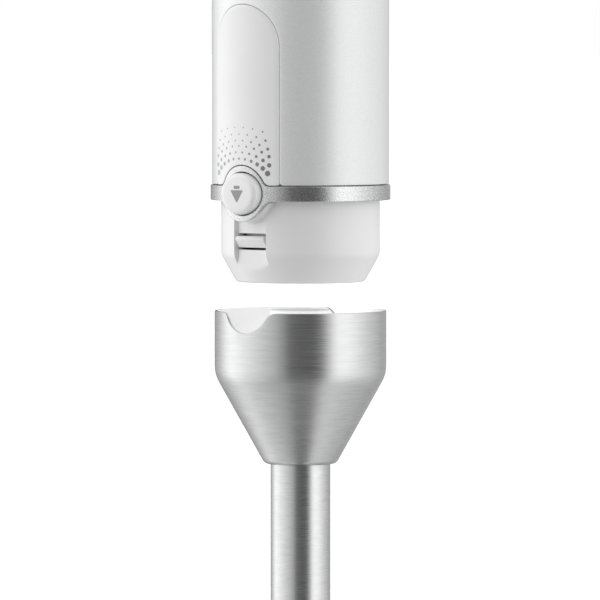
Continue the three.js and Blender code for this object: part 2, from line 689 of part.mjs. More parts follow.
for (const [side, place] of Object.entries({ right: (body) => body, left: turnedAway })) {
  fit(motorUnit, `field_coil_${side}`, place(fieldCoil()), FINISH.copper);
  fit(motorUnit, `brush_holder_${side}`, place(brushHolder()), FINISH.brass);
  fit(motorUnit, `carbon_brush_${side}`, place(carbonBrush()), FINISH.carbon);
  fit(motorUnit, `shelf_screw_${side}`, place(screw([21, 0], DECK_Z + 2 + GAP, 17)), FINISH.steel);
}

for (const [side, place] of Object.entries({ front: (body) => body, rear: turnedAway })) {
  const bolt = screw([0, -BOLT_Y], UPPER_PLATE + PLATE + GAP, LOWER_PLATE - 1.5);
  fit(motorUnit, `motor_bolt_${side}`, place(bolt), FINISH.steel);
  fit(motorUnit, `release_button_${side}`, place(releaseButton()), FINISH.white);
  fit(motorUnit, `release_latch_${side}`, place(releaseLatch()), FINISH.white);
  fit(motorUnit, `release_spring_${side}`, place(releaseSpring()), FINISH.steel);
}

fit(foot, "funnel_collar", funnelCollar(), FINISH.brushed);
fit(foot, "socket_liner", socketLiner(), FINISH.white);
fit(foot, "shaft_tube", shaftTube(), FINISH.brushed);
fit(foot, "bell_guard", bellGuard(), FINISH.brushed);
fit(foot, "upper_bush", upperBush(), FINISH.brass);
fit(foot, "lower_bush", lowerBush(), FINISH.brass);
fit(foot, "shaft_seal", shaftSeal(), FINISH.rubber);
fit(foot, "driven_coupler", drivenCoupler(), FINISH.dark);
fit(foot, "drive_shaft", driveShaft(), FINISH.steel);
fit(foot, "blade", blade(), FINISH.steel);
fit(foot, "blade_nut", bladeNut(), FINISH.steel);

export default blender;
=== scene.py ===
import bpy
import bmesh
import cmath
import json
import math
import numpy as np
from mathutils import Matrix, Vector

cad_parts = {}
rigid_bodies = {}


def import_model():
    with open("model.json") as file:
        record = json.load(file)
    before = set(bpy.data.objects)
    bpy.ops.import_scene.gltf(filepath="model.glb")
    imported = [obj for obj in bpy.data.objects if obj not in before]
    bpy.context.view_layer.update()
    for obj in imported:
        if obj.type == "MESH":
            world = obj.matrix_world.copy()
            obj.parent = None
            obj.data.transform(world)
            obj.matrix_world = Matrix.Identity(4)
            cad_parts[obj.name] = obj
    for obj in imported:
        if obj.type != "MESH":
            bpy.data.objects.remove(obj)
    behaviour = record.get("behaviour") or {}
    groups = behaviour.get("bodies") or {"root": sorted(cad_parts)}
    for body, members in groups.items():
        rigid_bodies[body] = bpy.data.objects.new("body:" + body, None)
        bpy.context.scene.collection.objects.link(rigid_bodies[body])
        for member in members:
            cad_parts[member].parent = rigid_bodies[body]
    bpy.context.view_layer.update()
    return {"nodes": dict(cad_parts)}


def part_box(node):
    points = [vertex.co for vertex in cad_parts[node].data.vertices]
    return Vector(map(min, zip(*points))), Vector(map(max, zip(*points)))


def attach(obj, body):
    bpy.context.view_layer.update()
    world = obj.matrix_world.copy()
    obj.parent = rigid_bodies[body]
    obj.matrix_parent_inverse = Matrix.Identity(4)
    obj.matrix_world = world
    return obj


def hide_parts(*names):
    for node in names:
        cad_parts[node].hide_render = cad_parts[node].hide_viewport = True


# A corded immersion blender: a round motor unit whose blending foot is pulled free of its white neck.
# Shapes are drawn in millimetres, with the front at -Y, and become metres when they are made a mesh.

for leftover in list(bpy.data.objects):
    bpy.data.objects.remove(leftover)

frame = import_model()


def reach(node):
    """A node's widest radius, lowest z and highest z, in millimetres."""
    low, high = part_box(node)
    return high.x * 1000, low.z * 1000, high.z * 1000


SLEEVE_R, SLEEVE_LOW, SLEEVE_TOP = reach("body_sleeve")
BAND_R, BULGE_LOW, BULGE_TOP = reach("band_ring")
_, NECK_LOW, SPIGOT_TOP = reach("neck_adapter")
COLLAR_R, COLLAR_LOW, RIM = reach("funnel_collar")
_, LINER_LOW, TOWER_TOP = reach("socket_liner")
TUBE_R, TUBE_LOW, TUBE_TOP = reach("shaft_tube")
GUARD_R, GUARD_LOW, GUARD_TOP = reach("bell_guard")
CAP_R, CAP_LOW, CAP_TOP = reach("top_cap")
DIAL_LOW, DIAL_TOP = reach("speed_dial")[1:]
BUTTON_R, BUTTON_LOW, BUTTON_HIGH = reach("release_button_front")
BUTTON_Z = (BUTTON_LOW + BUTTON_HIGH) / 2
BUTTON_FACE = -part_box("release_button_front")[0].y * 1000
PANEL_R = -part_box("front_panel")[0].y * 1000
PANEL_TOP = reach("front_panel")[2]
CONTROLS_LOW, CONTROLS_TOP = reach("control_panel")[1:]
MERGE = 2e-7  # metres between points that are one
FIT = 0.3  # millimetres between pieces that move past each other


# Outlines

def rounded(corners, step=math.radians(8)):
    """Corners (r, z) or (r, z, radius), as an outline whose corners with a radius are arcs."""
    outline = []
    for i, corner in enumerate(corners):
        here = complex(*corner[:2])
        if len(corner) < 3:
            outline.append(here)
            continue
        before = complex(*corners[i - 1][:2]) - here
        after = complex(*corners[(i + 1) % len(corners)][:2]) - here
        before, after = before / abs(before), after / abs(after)
        half = abs(cmath.phase(after / before)) / 2
        centre = here + (before + after) / abs(before + after) * corner[2] / math.sin(half)
        start, end = (here + side * corner[2] / math.tan(half) - centre for side in (before, after))
        sweep = cmath.phase(end / start)
        steps = max(2, math.ceil(abs(sweep) / step))
        outline += [centre + start * cmath.rect(1, sweep * k / steps) for k in range(steps + 1)]
    return [(p.real, p.imag) for p in outline]


def spans(*stretches):
    """Grid lines over stretches (start, end, spacing), each line once."""
    lines = [np.linspace(a, b, max(1, round(abs(b - a) / gap)) + 1) for a, b, gap in stretches]
    return np.concatenate([line[:-1] for line in lines] + [lines[-1][-1:]])


def walled(outline, thickness):
    """Rows for a wall of even thickness inside an outline (r, z) that runs up its outer side."""
    points = np.array(outline)
    along = np.gradient(points, axis=0)
    along /= np.hypot(*along.T)[:, None]
    inner = points + thickness * np.column_stack([-along[:, 1], along[:, 0]])
    return [tuple(row) for row in np.hstack([points, inner])]


def refined(rows, spacing):
    """Rows (r, z, inner r, inner z) from the bottom up, with more between them where spacing(z) asks."""
    out = [rows[0]]
    for a, b in zip(rows[:-1], rows[1:]):
        length = math.hypot(b[0] - a[0], b[1] - a[1])
        count = max(1, math.ceil(length / spacing((a[1] + b[1]) / 2)))
        out += [tuple(p + (q - p) * k / count for p, q in zip(a, b)) for k in range(1, count + 1)]
    return out


# Signed distances, negative inside a shape

def disc(x, z, radius, at=BUTTON_Z):
    return np.hypot(x, z - at) - radius


def joined(a, b, fillet):
    """Two shapes joined, with a fillet where they meet."""
    inner = np.hypot(np.maximum(fillet - a, 0), np.maximum(fillet - b, 0))
    return np.maximum(np.minimum(a, b), fillet) - inner


def corner(a, b, radius):
    """Inside both a and b, with the corner between them rounded."""
    return np.hypot(np.maximum(a, 0), np.maximum(b, 0)) + np.minimum(np.maximum(a, b), 0) - radius


def pill(u, z, half, low, high):
    """A stretch of panel with round ends."""
    return np.hypot(u, z - np.clip(z, low + half, high - half)) - half


def to_front(angle):
    """The angle from the nearer of the front and the rear."""
    return (angle + math.pi / 2) % math.pi - math.pi / 2


# Meshes

def piece(name, mesh_data, finish, body, slot, *nodes, sharp=38):
    """A finished piece from (points in millimetres, faces), riding on a body and standing for CAD nodes."""
    return dressed(name, made_mesh(name, mesh_data), finish, body, slot, *nodes, sharp=sharp)


def made_mesh(name, mesh_data):
    """A mesh in metres, with the points that meet merged."""
    points, faces = mesh_data
    mesh = bpy.data.meshes.new(name)
    mesh.from_pydata((np.asarray([tuple(p) for p in points], float) / 1000).tolist(), [], [list(f) for f in faces])
    draft = bmesh.new()
    draft.from_mesh(mesh)
    bmesh.ops.remove_doubles(draft, verts=draft.verts, dist=MERGE)
    bmesh.ops.dissolve_degenerate(draft, edges=draft.edges, dist=MERGE)
    draft.to_mesh(mesh)
    draft.free()
    return mesh


def placed(name, data):
    """A new object in the scene."""
    made = bpy.data.objects.new(name, data)
    bpy.context.scene.collection.objects.link(made)
    return made


def dressed(name, mesh, finish, body, slot, *nodes, sharp=38):
    """A finished mesh as a piece, with edges sharper than an angle in degrees left crisp."""
    mesh.name = name
    mesh.validate()
    mesh.materials.clear()
    mesh.materials.append(finish)
    mesh.shade_smooth()
    mesh.set_sharp_from_angle(angle=math.radians(sharp))
    made = placed(name, mesh)
    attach(made, body)
    if nodes:
        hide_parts(*nodes)
    return made


def turned(outline, sides=96, angles=None, closed=True):
    """An outline (r, z) turned round Z. It runs up the outer side and down the inner one."""
    angles = np.linspace(-math.pi, math.pi, sides + 1)[:-1] if angles is None else angles
    n = len(angles)
    points, rings = [], []
    for r, z in outline:
        if r < 1e-6:
            rings.append([len(points)] * n)
            points.append((0, 0, z))
        else:
            rings.append(list(range(len(points), len(points) + n)))
            points += [(r * math.sin(a), -r * math.cos(a), z) for a in angles]
    faces = []
    last = len(rings) if closed else len(rings) - 1
    for j in range(last):
        low, high = rings[j], rings[(j + 1) % len(rings)]
        for i in range(n):
            k = (i + 1) % n
            face = list(dict.fromkeys((low[i], low[k], high[k], high[i])))
            if len(face) > 2:
                faces.append(face)
    return points, faces


def combined(*parts):
    """Several meshes as one."""
    points, faces = [], []
    for part_points, part_faces in parts:
        start = len(points)
        points += [tuple(p) for p in part_points]
        faces += [[start + v for v in face] for face in part_faces]
    return points, faces


def moved(mesh_data, matrix):
    points, faces = mesh_data
    return [tuple(matrix @ Vector(p)) for p in points], faces


TO_FRONT = Matrix.Rotation(math.radians(90), 4, "X")
HALF_TURN = Matrix.Rotation(math.pi, 4, "Z")


def shell(s_lines, t_lines, inside, place, under, lip, depth, wraps=False, sealed=(True, True), turns=4):
    """A wall over a grid, cut to inside(s, t) < 0, with edges rounded over lip across and depth down.

    place(s, t, sink) is the outer face and under(s, t) the inner one. Where wraps is true, s runs all round.
    sealed says whether the first and last rows are joined across the wall's thickness.
    """
    n, m = len(s_lines), len(t_lines)
    s, t = (grid.copy() for grid in np.meshgrid(s_lines, t_lines, indexing="ij"))

    def slope(s, t, h=0.004):
        ds = inside(s + h, t) - inside(s - h, t)
        dt = inside(s, t + h) - inside(s, t - h)
        size = np.hypot(ds, dt) + 1e-12
        return ds / size, dt / size

    good = inside(s, t) < -(lip + 0.06)
    around = np.arange(n if wraps else n - 1)
    beside = (around + 1) % n
    keep = good[around][:, :-1] & good[beside][:, :-1] & good[beside][:, 1:] & good[around][:, 1:]
    while True:
        back = np.roll(keep, 1, axis=0) if wraps else np.vstack([keep[:1] * False, keep[:-1]])
        pinch = keep[:, 1:] & back[:, :-1] & ~keep[:, :-1] & ~back[:, 1:]
        other = keep[:, :-1] & back[:, 1:] & ~keep[:, 1:] & ~back[:, :-1]
        if not (pinch.any() or other.any()):
            break
        keep[:, 1:] &= ~pinch
        keep[:, :-1] &= ~other

    def has(i, j):
        return 0 <= j < m - 1 and (wraps or 0 <= i < n - 1) and keep[i % len(keep), j]

    cells = [(int(i), int(j)) for i, j in np.argwhere(keep)]
    rims, ends = [], []
    for i, j in cells:
        a, b, c, d = (i, j), ((i + 1) % n, j), ((i + 1) % n, j + 1), (i, j + 1)
        sides = (a, b, (i, j - 1)), (b, c, (i + 1, j)), (c, d, (i, j + 1)), (d, a, (i - 1, j))
        for start, end, neighbour in sides:
            if not has(*neighbour):
                at_end = start[1] == end[1] and start[1] in (0, m - 1)
                (ends if at_end else rims).append((start, end))
    edge = sorted({v for pair in rims for v in pair})
    ei, ej = np.array([v[0] for v in edge], int), np.array([v[1] for v in edge], int)
    es, et = s[ei, ej], t[ei, ej]
    for _ in range(4):
        gs, gt = slope(es, et)
        away = inside(es, et) + lip
        es, et = es - gs * away, et - gt * away
    s[ei, ej], t[ei, ej] = es, et
    used = sorted({v for i, j in cells for v in ((i, j), ((i + 1) % n, j), ((i + 1) % n, j + 1), (i, j + 1))})
    ui, uj = np.array([v[0] for v in used], int), np.array([v[1] for v in used], int)
    number = {v: k for k, v in enumerate(used)}
    on_edge = {v: k for k, v in enumerate(edge)}
    layers = [np.array(place(s[ui, uj], t[ui, uj], 0 * s[ui, uj])).T]
    gs, gt = slope(es, et)
    for k in range(1, turns + 1):
        turn = math.pi / 2 * k / turns
        ks, kt = es + gs * lip * math.sin(turn), et + gt * lip * math.sin(turn)
        layers.append(np.array(place(ks, kt, 0 * ks + depth * (1 - math.cos(turn)))).T)
    layers.append(np.array(under(ks, kt)).T)
    layers.append(np.array(under(s[ui, uj], t[ui, uj])).T)
    starts = np.cumsum([0] + [len(layer) for layer in layers])
    inner = int(starts[-2])
    faces = []
    for i, j in cells:
        face = [number[(i, j)], number[((i + 1) % n, j)], number[((i + 1) % n, j + 1)], number[(i, j + 1)]]
        faces += [face, [inner + v for v in reversed(face)]]
    for a, b in rims:
        path_a = [number[a]] + [int(q) + on_edge[a] for q in starts[1:-2]] + [inner + number[a]]
        path_b = [number[b]] + [int(q) + on_edge[b] for q in starts[1:-2]] + [inner + number[b]]
        for k in range(len(path_a) - 1):
            faces.append([path_b[k], path_a[k], path_a[k + 1], path_b[k + 1]])
    for a, b in ends:
        if sealed[0 if a[1] == 0 else 1]:
            faces.append([number[b], number[a], inner + number[a], inner + number[b]])
    return np.concatenate(layers), faces


def wrapped(angles, rows, inside, lip, depth, relief=None, wraps=True, sealed=(True, True), straight_from=-1000):
    """A shell round Z. rows are (r, z, inner r, inner z) from the bottom up; relief(r, angle, z) reshapes r.

    inside(x, z, angle) is the cut, with x across from the axis. Above z = straight_from, the walls of a cut at the
    front or rear run straight back instead of towards the axis.
    """
    rows = np.array(rows)
    along = np.concatenate([[0], np.cumsum(np.hypot(*np.diff(rows[:, :2], axis=0).T))])
    about = rows[:, 0].max()

    def outer(s, t):
        r, z = np.interp(t, along, rows[:, 0]), np.interp(t, along, rows[:, 1])
        angle = s / about
        return (relief(r, angle, z) if relief else r), angle, z

    def cut(s, t):
        r, angle, z = outer(s, t)
        return inside(r * np.sin(to_front(angle)), z, angle)

    def place(s, t, sink):
        r, angle, z = outer(s, t)
        return (r - sink) * np.sin(angle), -(r - sink) * np.cos(angle), z

    def under(s, t):
        r, angle, z = outer(s, t)
        inner_r, inner_z = np.interp(t, along, rows[:, 2]), np.interp(t, along, rows[:, 3])
        near = to_front(angle)
        straight = np.arcsin(np.clip(r * np.sin(near) / inner_r, -0.999, 0.999))
        share = np.clip((math.radians(46) - np.abs(near)) / math.radians(22), 0, 1)
        angle = angle + (straight - near) * share * np.clip(z - straight_from, 0, 1)
        return inner_r * np.sin(angle), -inner_r * np.cos(angle), inner_z

    angles = np.asarray(angles)
    return shell(angles * about, along, cut, place, under, lip, depth, wraps=wraps, sealed=sealed)


def all_round(*halves):
    """Angles all round from half-turn stretches (start, end, spacing) in degrees, the same on both sides."""
    half = spans(*halves)
    whole = np.concatenate([-half[::-1], half[1:]])
    return np.radians(whole[:-1])


# Finishes

def feed(tree, socket, value):
    if isinstance(value, bpy.types.NodeSocket):
        tree.links.new(value, socket)
    else:
        socket.default_value = value


def add(tree, kind, inputs=None, **settings):
    """A node with its settings made and its inputs set or linked, by name or by number."""
    made = tree.nodes.new(kind)
    for name, value in settings.items():
        setattr(made, name, value)
    for name, value in (inputs or {}).items():
        feed(tree, made.inputs[name], value)
    return made


def math_node(tree, operation, *values):
    return add(tree, "ShaderNodeMath", dict(enumerate(values)), operation=operation).outputs[0]


def new_group(name, inputs, outputs):
    tree = bpy.data.node_groups.new(name, "ShaderNodeTree")
    for label, value in inputs.items():
        tree.interface.new_socket(label, in_out="INPUT", socket_type="NodeSocketFloat").default_value = value
    for label in outputs:
        tree.interface.new_socket(label, in_out="OUTPUT", socket_type="NodeSocketFloat")
    return tree, tree.nodes.new("NodeGroupInput").outputs, tree.nodes.new("NodeGroupOutput").inputs


def moulded_grain():
    """The fine even grain of moulded plastic, with a slow unevenness of tone."""
    tree, given, out = new_group("Moulded grain", {"Grain": 4000, "Drift": 60}, ["Height", "Tone"])
    place = add(tree, "ShaderNodeTexCoord").outputs["Object"]
    grain = add(tree, "ShaderNodeTexNoise", {"Vector": place, "Scale": given["Grain"], "Detail": 2})
    drift = add(tree, "ShaderNodeTexNoise", {"Vector": place, "Scale": given["Drift"], "Detail": 3})
    feed(tree, out["Height"], grain.outputs["Fac"])
    feed(tree, out["Tone"], drift.outputs["Fac"])
    return tree


def turning_marks():
    """Brushed lines that run round Z, as a belt leaves them on a turned tube."""
    tree, given, out = new_group("Turning marks", {"Fineness": 2600, "Length": 3}, ["Streak", "Band"])
    place = add(tree, "ShaderNodeTexCoord").outputs["Object"]
    parts = add(tree, "ShaderNodeSeparateXYZ", {"Vector": place}).outputs
    flat = add(tree, "ShaderNodeCombineXYZ", {"X": parts["X"], "Y": parts["Y"]}).outputs[0]
    around = add(tree, "ShaderNodeVectorMath", {0: flat}, operation="NORMALIZE").outputs[0]
    spread = add(tree, "ShaderNodeVectorMath", {0: around, "Scale": given["Length"]}, operation="SCALE").outputs[0]

    def lines(share):
        height = math_node(tree, "MULTIPLY", parts["Z"], math_node(tree, "MULTIPLY", given["Fineness"], share))
        lift = add(tree, "ShaderNodeCombineXYZ", {"Z": height}).outputs[0]
        spot = add(tree, "ShaderNodeVectorMath", {0: spread, 1: lift}, operation="ADD").outputs[0]
        noise = add(tree, "ShaderNodeTexNoise", {"Vector": spot, "Scale": 1.0, "Detail": 3, "Roughness": 0.6})
        return noise.outputs["Fac"]

    feed(tree, out["Streak"], lines(1.0))
    feed(tree, out["Band"], lines(0.12))
    return tree


def metal_flake():
    """Flakes that each lie a little differently, as in pearl paint."""
    tree, given, out = new_group("Metal flake", {"Flakes": 5000}, ["Flake"])
    place = add(tree, "ShaderNodeTexCoord").outputs["Object"]
    cells = add(tree, "ShaderNodeTexVoronoi", {"Vector": place, "Scale": given["Flakes"]})
    parts = add(tree, "ShaderNodeSeparateColor", {"Color": cells.outputs["Color"]})
    feed(tree, out["Flake"], parts.outputs[0])
    return tree


GRAIN, MARKS, FLAKE = moulded_grain(), turning_marks(), metal_flake()


def finish(name, **constants):
    """A new material with the shader's plain values set on its own sockets."""
    made = bpy.data.materials.new(name)
    made.use_nodes = True
    shader = made.node_tree.nodes["Principled BSDF"]
    for label, value in constants.items():
        shader.inputs[label.replace("_", " ")].default_value = value
    return made, made.node_tree, shader


def effect(tree, group, **values):
    """A shared effect placed in a material with its own values."""
    made = tree.nodes.new("ShaderNodeGroup")
    made.node_tree = group
    for label, value in values.items():
        made.inputs[label].default_value = value
    return made.outputs


def span(tree, mask, low, high):
    """A value that goes from low to high as the mask goes from 0.3 to 0.7."""
    return add(tree, "ShaderNodeMapRange", {"Value": mask, "From Min": 0.3, "From Max": 0.7,
                                            "To Min": low, "To Max": high}).outputs["Result"]


def mix_color(tree, mask, dark, light):
    made = tree.nodes.new("ShaderNodeMix")
    made.data_type = "RGBA"
    feed(tree, made.inputs[0], mask)
    feed(tree, made.inputs[6], (*dark, 1) if isinstance(dark, tuple) else dark)
    feed(tree, made.inputs[7], (*light, 1) if isinstance(light, tuple) else light)
    return made.outputs[2]


def surface(tree, shader, color, roughness, height, depth):
    """A shader's color, its roughness, and the relief of its surface."""
    relief = add(tree, "ShaderNodeBump", {"Strength": 1.0, "Distance": depth, "Height": height})
    feed(tree, shader.inputs["Base Color"], color)
    feed(tree, shader.inputs["Roughness"], roughness)
    feed(tree, shader.inputs["Normal"], relief.outputs["Normal"])


def grained(name, dark, light, roughness, wander, grain, drift, depth, **constants):
    """A fine grain, with a slight drift of tone and gloss."""
    made, tree, shader = finish(name, **constants)
    effects = effect(tree, GRAIN, Grain=grain, Drift=drift)
    surface(tree, shader, mix_color(tree, span(tree, effects["Tone"], 0, 1), dark, light),
            span(tree, effects["Tone"], roughness - wander, roughness + wander), effects["Height"], depth)
    return made


def plastic(name, color, roughness=0.35, grain=4000, depth=4e-6, drift=60, spread=0.03, **constants):
    """Moulded plastic."""
    deep = tuple(c * (1 - spread) for c in color)
    return grained(name, deep, color, roughness, 0.03, grain, drift, depth, **constants)


def metal(name, dark, light, roughness, grain=1500, depth=3e-6, **constants):
    """Cast or polished metal."""
    return grained(name, dark, light, roughness, 0.06, grain, 220, depth, Metallic=1.0, **constants)


def brushed(name, dark, light, fineness, length, smooth, rough, depth, **constants):
    """Steel with lines brushed round its axis."""
    made, tree, shader = finish(name, Metallic=1.0, **constants)
    marks = effect(tree, MARKS, Fineness=fineness, Length=length)
    both = math_node(tree, "ADD", math_node(tree, "MULTIPLY", marks["Streak"], 0.65),
                     math_node(tree, "MULTIPLY", marks["Band"], 0.35))
    surface(tree, shader, mix_color(tree, span(tree, both, 0, 1), dark, light),
            span(tree, marks["Streak"], smooth, rough), both, depth)
    return made


def flaked(name, base, bright, flakes, metallic, smooth, rough, depth, **constants):
    """Paint or satin metal with flakes in it that catch the light."""
    made, tree, shader = finish(name, Metallic=metallic, **constants)
    flake = effect(tree, FLAKE, Flakes=flakes)["Flake"]
    gloss = add(tree, "ShaderNodeMapRange", {"Value": flake, "To Min": smooth, "To Max": rough})
    surface(tree, shader, mix_color(tree, flake, base, bright), gloss.outputs["Result"], flake, depth)
    return made


def striped(name, dark, light, stripes, axis, roughness, metallic, depth):
    """Even lines across one axis: stacked laminations, wound wire or commutator bars seen end on."""
    made, tree, shader = finish(name, Metallic=metallic)
    place = add(tree, "ShaderNodeTexCoord").outputs["Object"]
    along = add(tree, "ShaderNodeSeparateXYZ", {"Vector": place}).outputs[axis]
    wave = math_node(tree, "SINE", math_node(tree, "MULTIPLY", along, stripes * math.tau))
    height = math_node(tree, "MULTIPLY_ADD", wave, 0.5, 0.5)
    effects = effect(tree, GRAIN, Grain=2500, Drift=300)
    shade = math_node(tree, "MULTIPLY", height, span(tree, effects["Tone"], 0.7, 1))
    surface(tree, shader, mix_color(tree, shade, dark, light),
            span(tree, effects["Tone"], roughness - 0.06, roughness + 0.06), height, depth)
    return made


pearl = flaked("pearl paint", (0.80, 0.805, 0.81), (0.92, 0.925, 0.93), 6500, 0.25, 0.3, 0.42, 3e-6,
               Coat_Weight=0.6, Coat_Roughness=0.12)
white = plastic("white satin plastic", (0.90, 0.90, 0.90), 0.34, Coat_Weight=0.2, Coat_Roughness=0.15)
# The socket's white plastic has a faint emission. This is painted glow that lightens the shaded inside of the
# socket, which is no lamp.
painted_glow_white = plastic("white plastic with painted glow", (0.95, 0.95, 0.95), 0.4, Emission_Color=(1, 1, 1, 1),
                       Emission_Strength=0.15)
silver = flaked("silver band", (0.45, 0.452, 0.455), (0.79, 0.793, 0.80), 6000, 1.0, 0.15, 0.30, 3e-6)
steel = brushed("brushed steel", (0.54, 0.542, 0.545), (0.70, 0.703, 0.708), 5200, 2.2, 0.24, 0.38, 1.1e-5,
                Anisotropic=0.55, Anisotropic_Rotation=0.25)
guard_steel = brushed("satin steel", (0.51, 0.512, 0.515), (0.65, 0.653, 0.658), 4000, 2.2, 0.24, 0.34, 7e-6,
                      Anisotropic=0.4, Anisotropic_Rotation=0.25)
ink = plastic("grey ink", (0.33, 0.33, 0.33), 0.5, depth=1e-6)
rubber = plastic("soft dark rubber", (0.035, 0.035, 0.037), 0.7, grain=2600, depth=1.2e-5)
soft_grey = plastic("grey soft plastic", (0.30, 0.305, 0.31), 0.5, grain=3000, depth=1e-5)
housing_grey = plastic("grey moulded plastic", (0.32, 0.33, 0.34), 0.5, depth=8e-6)
black = plastic("black moulded plastic", (0.03, 0.03, 0.033), 0.45, depth=8e-6)
bright_steel = metal("ground steel", (0.52, 0.53, 0.54), (0.68, 0.68, 0.68), 0.24)
edge_steel = metal("polished blade steel", (0.55, 0.55, 0.55), (0.72, 0.72, 0.71), 0.18, grain=900)
copper = striped("wound copper wire", (0.30, 0.10, 0.035), (0.78, 0.36, 0.18), 1800, "Z", 0.35, 0.9, 1.2e-4)
laminations = striped("stacked laminations", (0.10, 0.105, 0.11), (0.30, 0.31, 0.32), 1400, "Z", 0.5, 0.8, 6e-5)
bars = striped("commutator bars", (0.45, 0.20, 0.09), (0.82, 0.44, 0.25), 700, "Z", 0.3, 0.95, 2e-5)
brass = metal("stamped brass", (0.62, 0.44, 0.16), (0.80, 0.62, 0.28), 0.32)
bronze = metal("sintered bronze", (0.42, 0.28, 0.13), (0.56, 0.39, 0.20), 0.5, grain=5000, depth=1.2e-5)
carbon = plastic("carbon", (0.028, 0.028, 0.03), 0.75, grain=6000, depth=1.5e-5, spread=0.3)
board = plastic("circuit board", (0.035, 0.16, 0.06), 0.4, grain=900, depth=1.5e-5, spread=0.35)
film = plastic("capacitor film", (0.45, 0.33, 0.12), 0.35, depth=5e-6)
cast = metal("cast alloy", (0.34, 0.345, 0.35), (0.46, 0.465, 0.47), 0.5, grain=1200, depth=1.5e-5)


# Casing of the motor unit

BAND_HALF = 2.65  # half the band's height
BULGE = 9.75  # radius of the band round each release button
BUTTON_OFF = 0.3  # the button's centre, to the right of the front
BUTTON_WIDE = 1.1  # its width over its height
PANEL_HALF = 14.6
CONTROLS_HALF = 10


def bulge(x, z, grown=0.0):
    """The band with its round bulge, grown all round. Its lower fillets are the broader ones."""
    fillet = np.where(z > BUTTON_Z, 1.6, 2.9)
    return joined(disc(x, z, BULGE + grown), np.abs(z - BUTTON_Z) - BAND_HALF - grown, fillet)


def button_hole(x, z, radius=7.6):
    return disc((x - BUTTON_OFF) / BUTTON_WIDE, z, radius)


def panel(angle, z, grown=0.0):
    return pill(angle * SLEEVE_R, z, PANEL_HALF + grown, -300, PANEL_TOP + grown)


def controls(angle, z, grown=0.0):
    return pill(angle * SLEEVE_R, z, CONTROLS_HALF + grown, CONTROLS_LOW - grown, CONTROLS_TOP + grown)


def vents(angle, z):
    """Six upright slots with round ends, in two groups either side of the rear."""
    off = np.abs(np.abs(np.degrees(angle)) - 180)
    column = np.clip(np.round((off - 22) / 9), 0, 2) * 9 + 22
    across = np.radians(off - column) * SLEEVE_R
    return np.hypot(across, z - np.clip(z, -65.1, -55.9)) - 0.9


def sleeve_side(x, z, angle):
    cuts = [panel(angle, z, 0.12), controls(angle, z, 0.12), bulge(x, z, FIT), vents(angle, z)]
    return np.maximum(SLEEVE_LOW - z, -np.minimum.reduce(cuts))


def straight_rows(lines, outer, inner):
    return [(outer, z, inner, z) for z in lines]


sleeve_lines = spans((SLEEVE_LOW - 0.6, -64.5, 0.45), (-64.5, -57, 1.5), (-57, -54, 0.45), (-54, -30, 2.4),
                     (-30, -11, 0.55), (-11, 13, 4), (13, 26, 0.6), (26, 54, 2.8), (54, 67, 0.6),
                     (67, SLEEVE_TOP, 3))
sleeve_angles = all_round((0, 31, 0.9), (31, 136, 3), (136, 180, 0.88))
sleeve = wrapped(sleeve_angles, straight_rows(sleeve_lines, SLEEVE_R, SLEEVE_R - 2.2), sleeve_side, 0.3, 0.28)
piece("Body_sleeve", sleeve, pearl, "motor_unit", "body_sleeve", "body_sleeve")

BEVEL = 1.15


def raised(outline):
    """A panel that stands proud, with a bevel that falls to the sleeve at its outline."""
    def relief(r, angle, z):
        share = np.clip(-outline(angle, z) / BEVEL, 0, 1)
        return r - (PANEL_R - SLEEVE_R) * (1 - share) ** 1.4
    return relief


def front_side(x, z, angle):
    return np.maximum.reduce([panel(angle, z), SLEEVE_LOW - z, -bulge(x, z, FIT)])


panel_angles = np.radians(spans((-29.5, -24.5, 0.35), (-24.5, 24.5, 0.75), (24.5, 29.5, 0.35)))
panel_lines = spans((SLEEVE_LOW - 0.6, -66, 0.35), (-66, -30, 1.5), (-30, PANEL_TOP + 0.8, 0.33))
front_panel = wrapped(panel_angles, straight_rows(panel_lines, PANEL_R, SLEEVE_R - 1.9), front_side, 0.22, 0.25,
                      relief=raised(panel), wraps=False)
piece("Front_panel", front_panel, white, "motor_unit", "front_panel", "front_panel")

POWER_Z, POWER_R = sum(reach("power_button")[1:]) / 2, 7.0
TURBO_Z, TURBO_R = sum(reach("turbo_button")[1:]) / 2, 5.5


def controls_side(x, z, angle):
    holes = np.minimum(disc(x, z, POWER_R + FIT, POWER_Z), disc(x, z, TURBO_R + FIT, TURBO_Z))
    return np.maximum(controls(angle, z), -holes)


control_angles = np.radians(spans((-20, -15, 0.4), (-15, 15, 0.7), (15, 20, 0.4)))
control_lines = spans((CONTROLS_LOW - 0.8, CONTROLS_TOP + 0.8, 0.42))
control_panel = wrapped(control_angles, straight_rows(control_lines, PANEL_R, SLEEVE_R - 0.7), controls_side,
                        0.22, 0.25, relief=raised(controls), wraps=False)
piece("Control_panel", control_panel, white, "motor_unit", "control_panel", "control_panel")


def band_side(x, z, angle):
    return np.maximum(bulge(x, z), -button_hole(x, z))


band_lines = spans((BULGE_LOW - 0.8, BULGE_TOP + 0.8, 0.2))
band_angles = all_round((0, 26, 0.36), (26, 154, 2.4), (154, 180, 0.36))
band_rows = [(BAND_R, z, 28.5 if z > BUTTON_Z - BAND_HALF else 30.3, z) for z in band_lines]
band = wrapped(band_angles, band_rows, band_side, 0.28, 0.28)
piece("Band", band, silver, "motor_unit", "band_ring", "band_ring")


# Neck

NECK_R = 27.8
CONE_Z, CONE_R = -104.5, 24.819  # where the tip's turned shape takes over from the cut wall
CHANNEL_HALF, CHANNEL_FLOOR, CHANNEL_TOP = 7.15, 25.2, -85.5
WINDOW = (-97.0, -91.3)


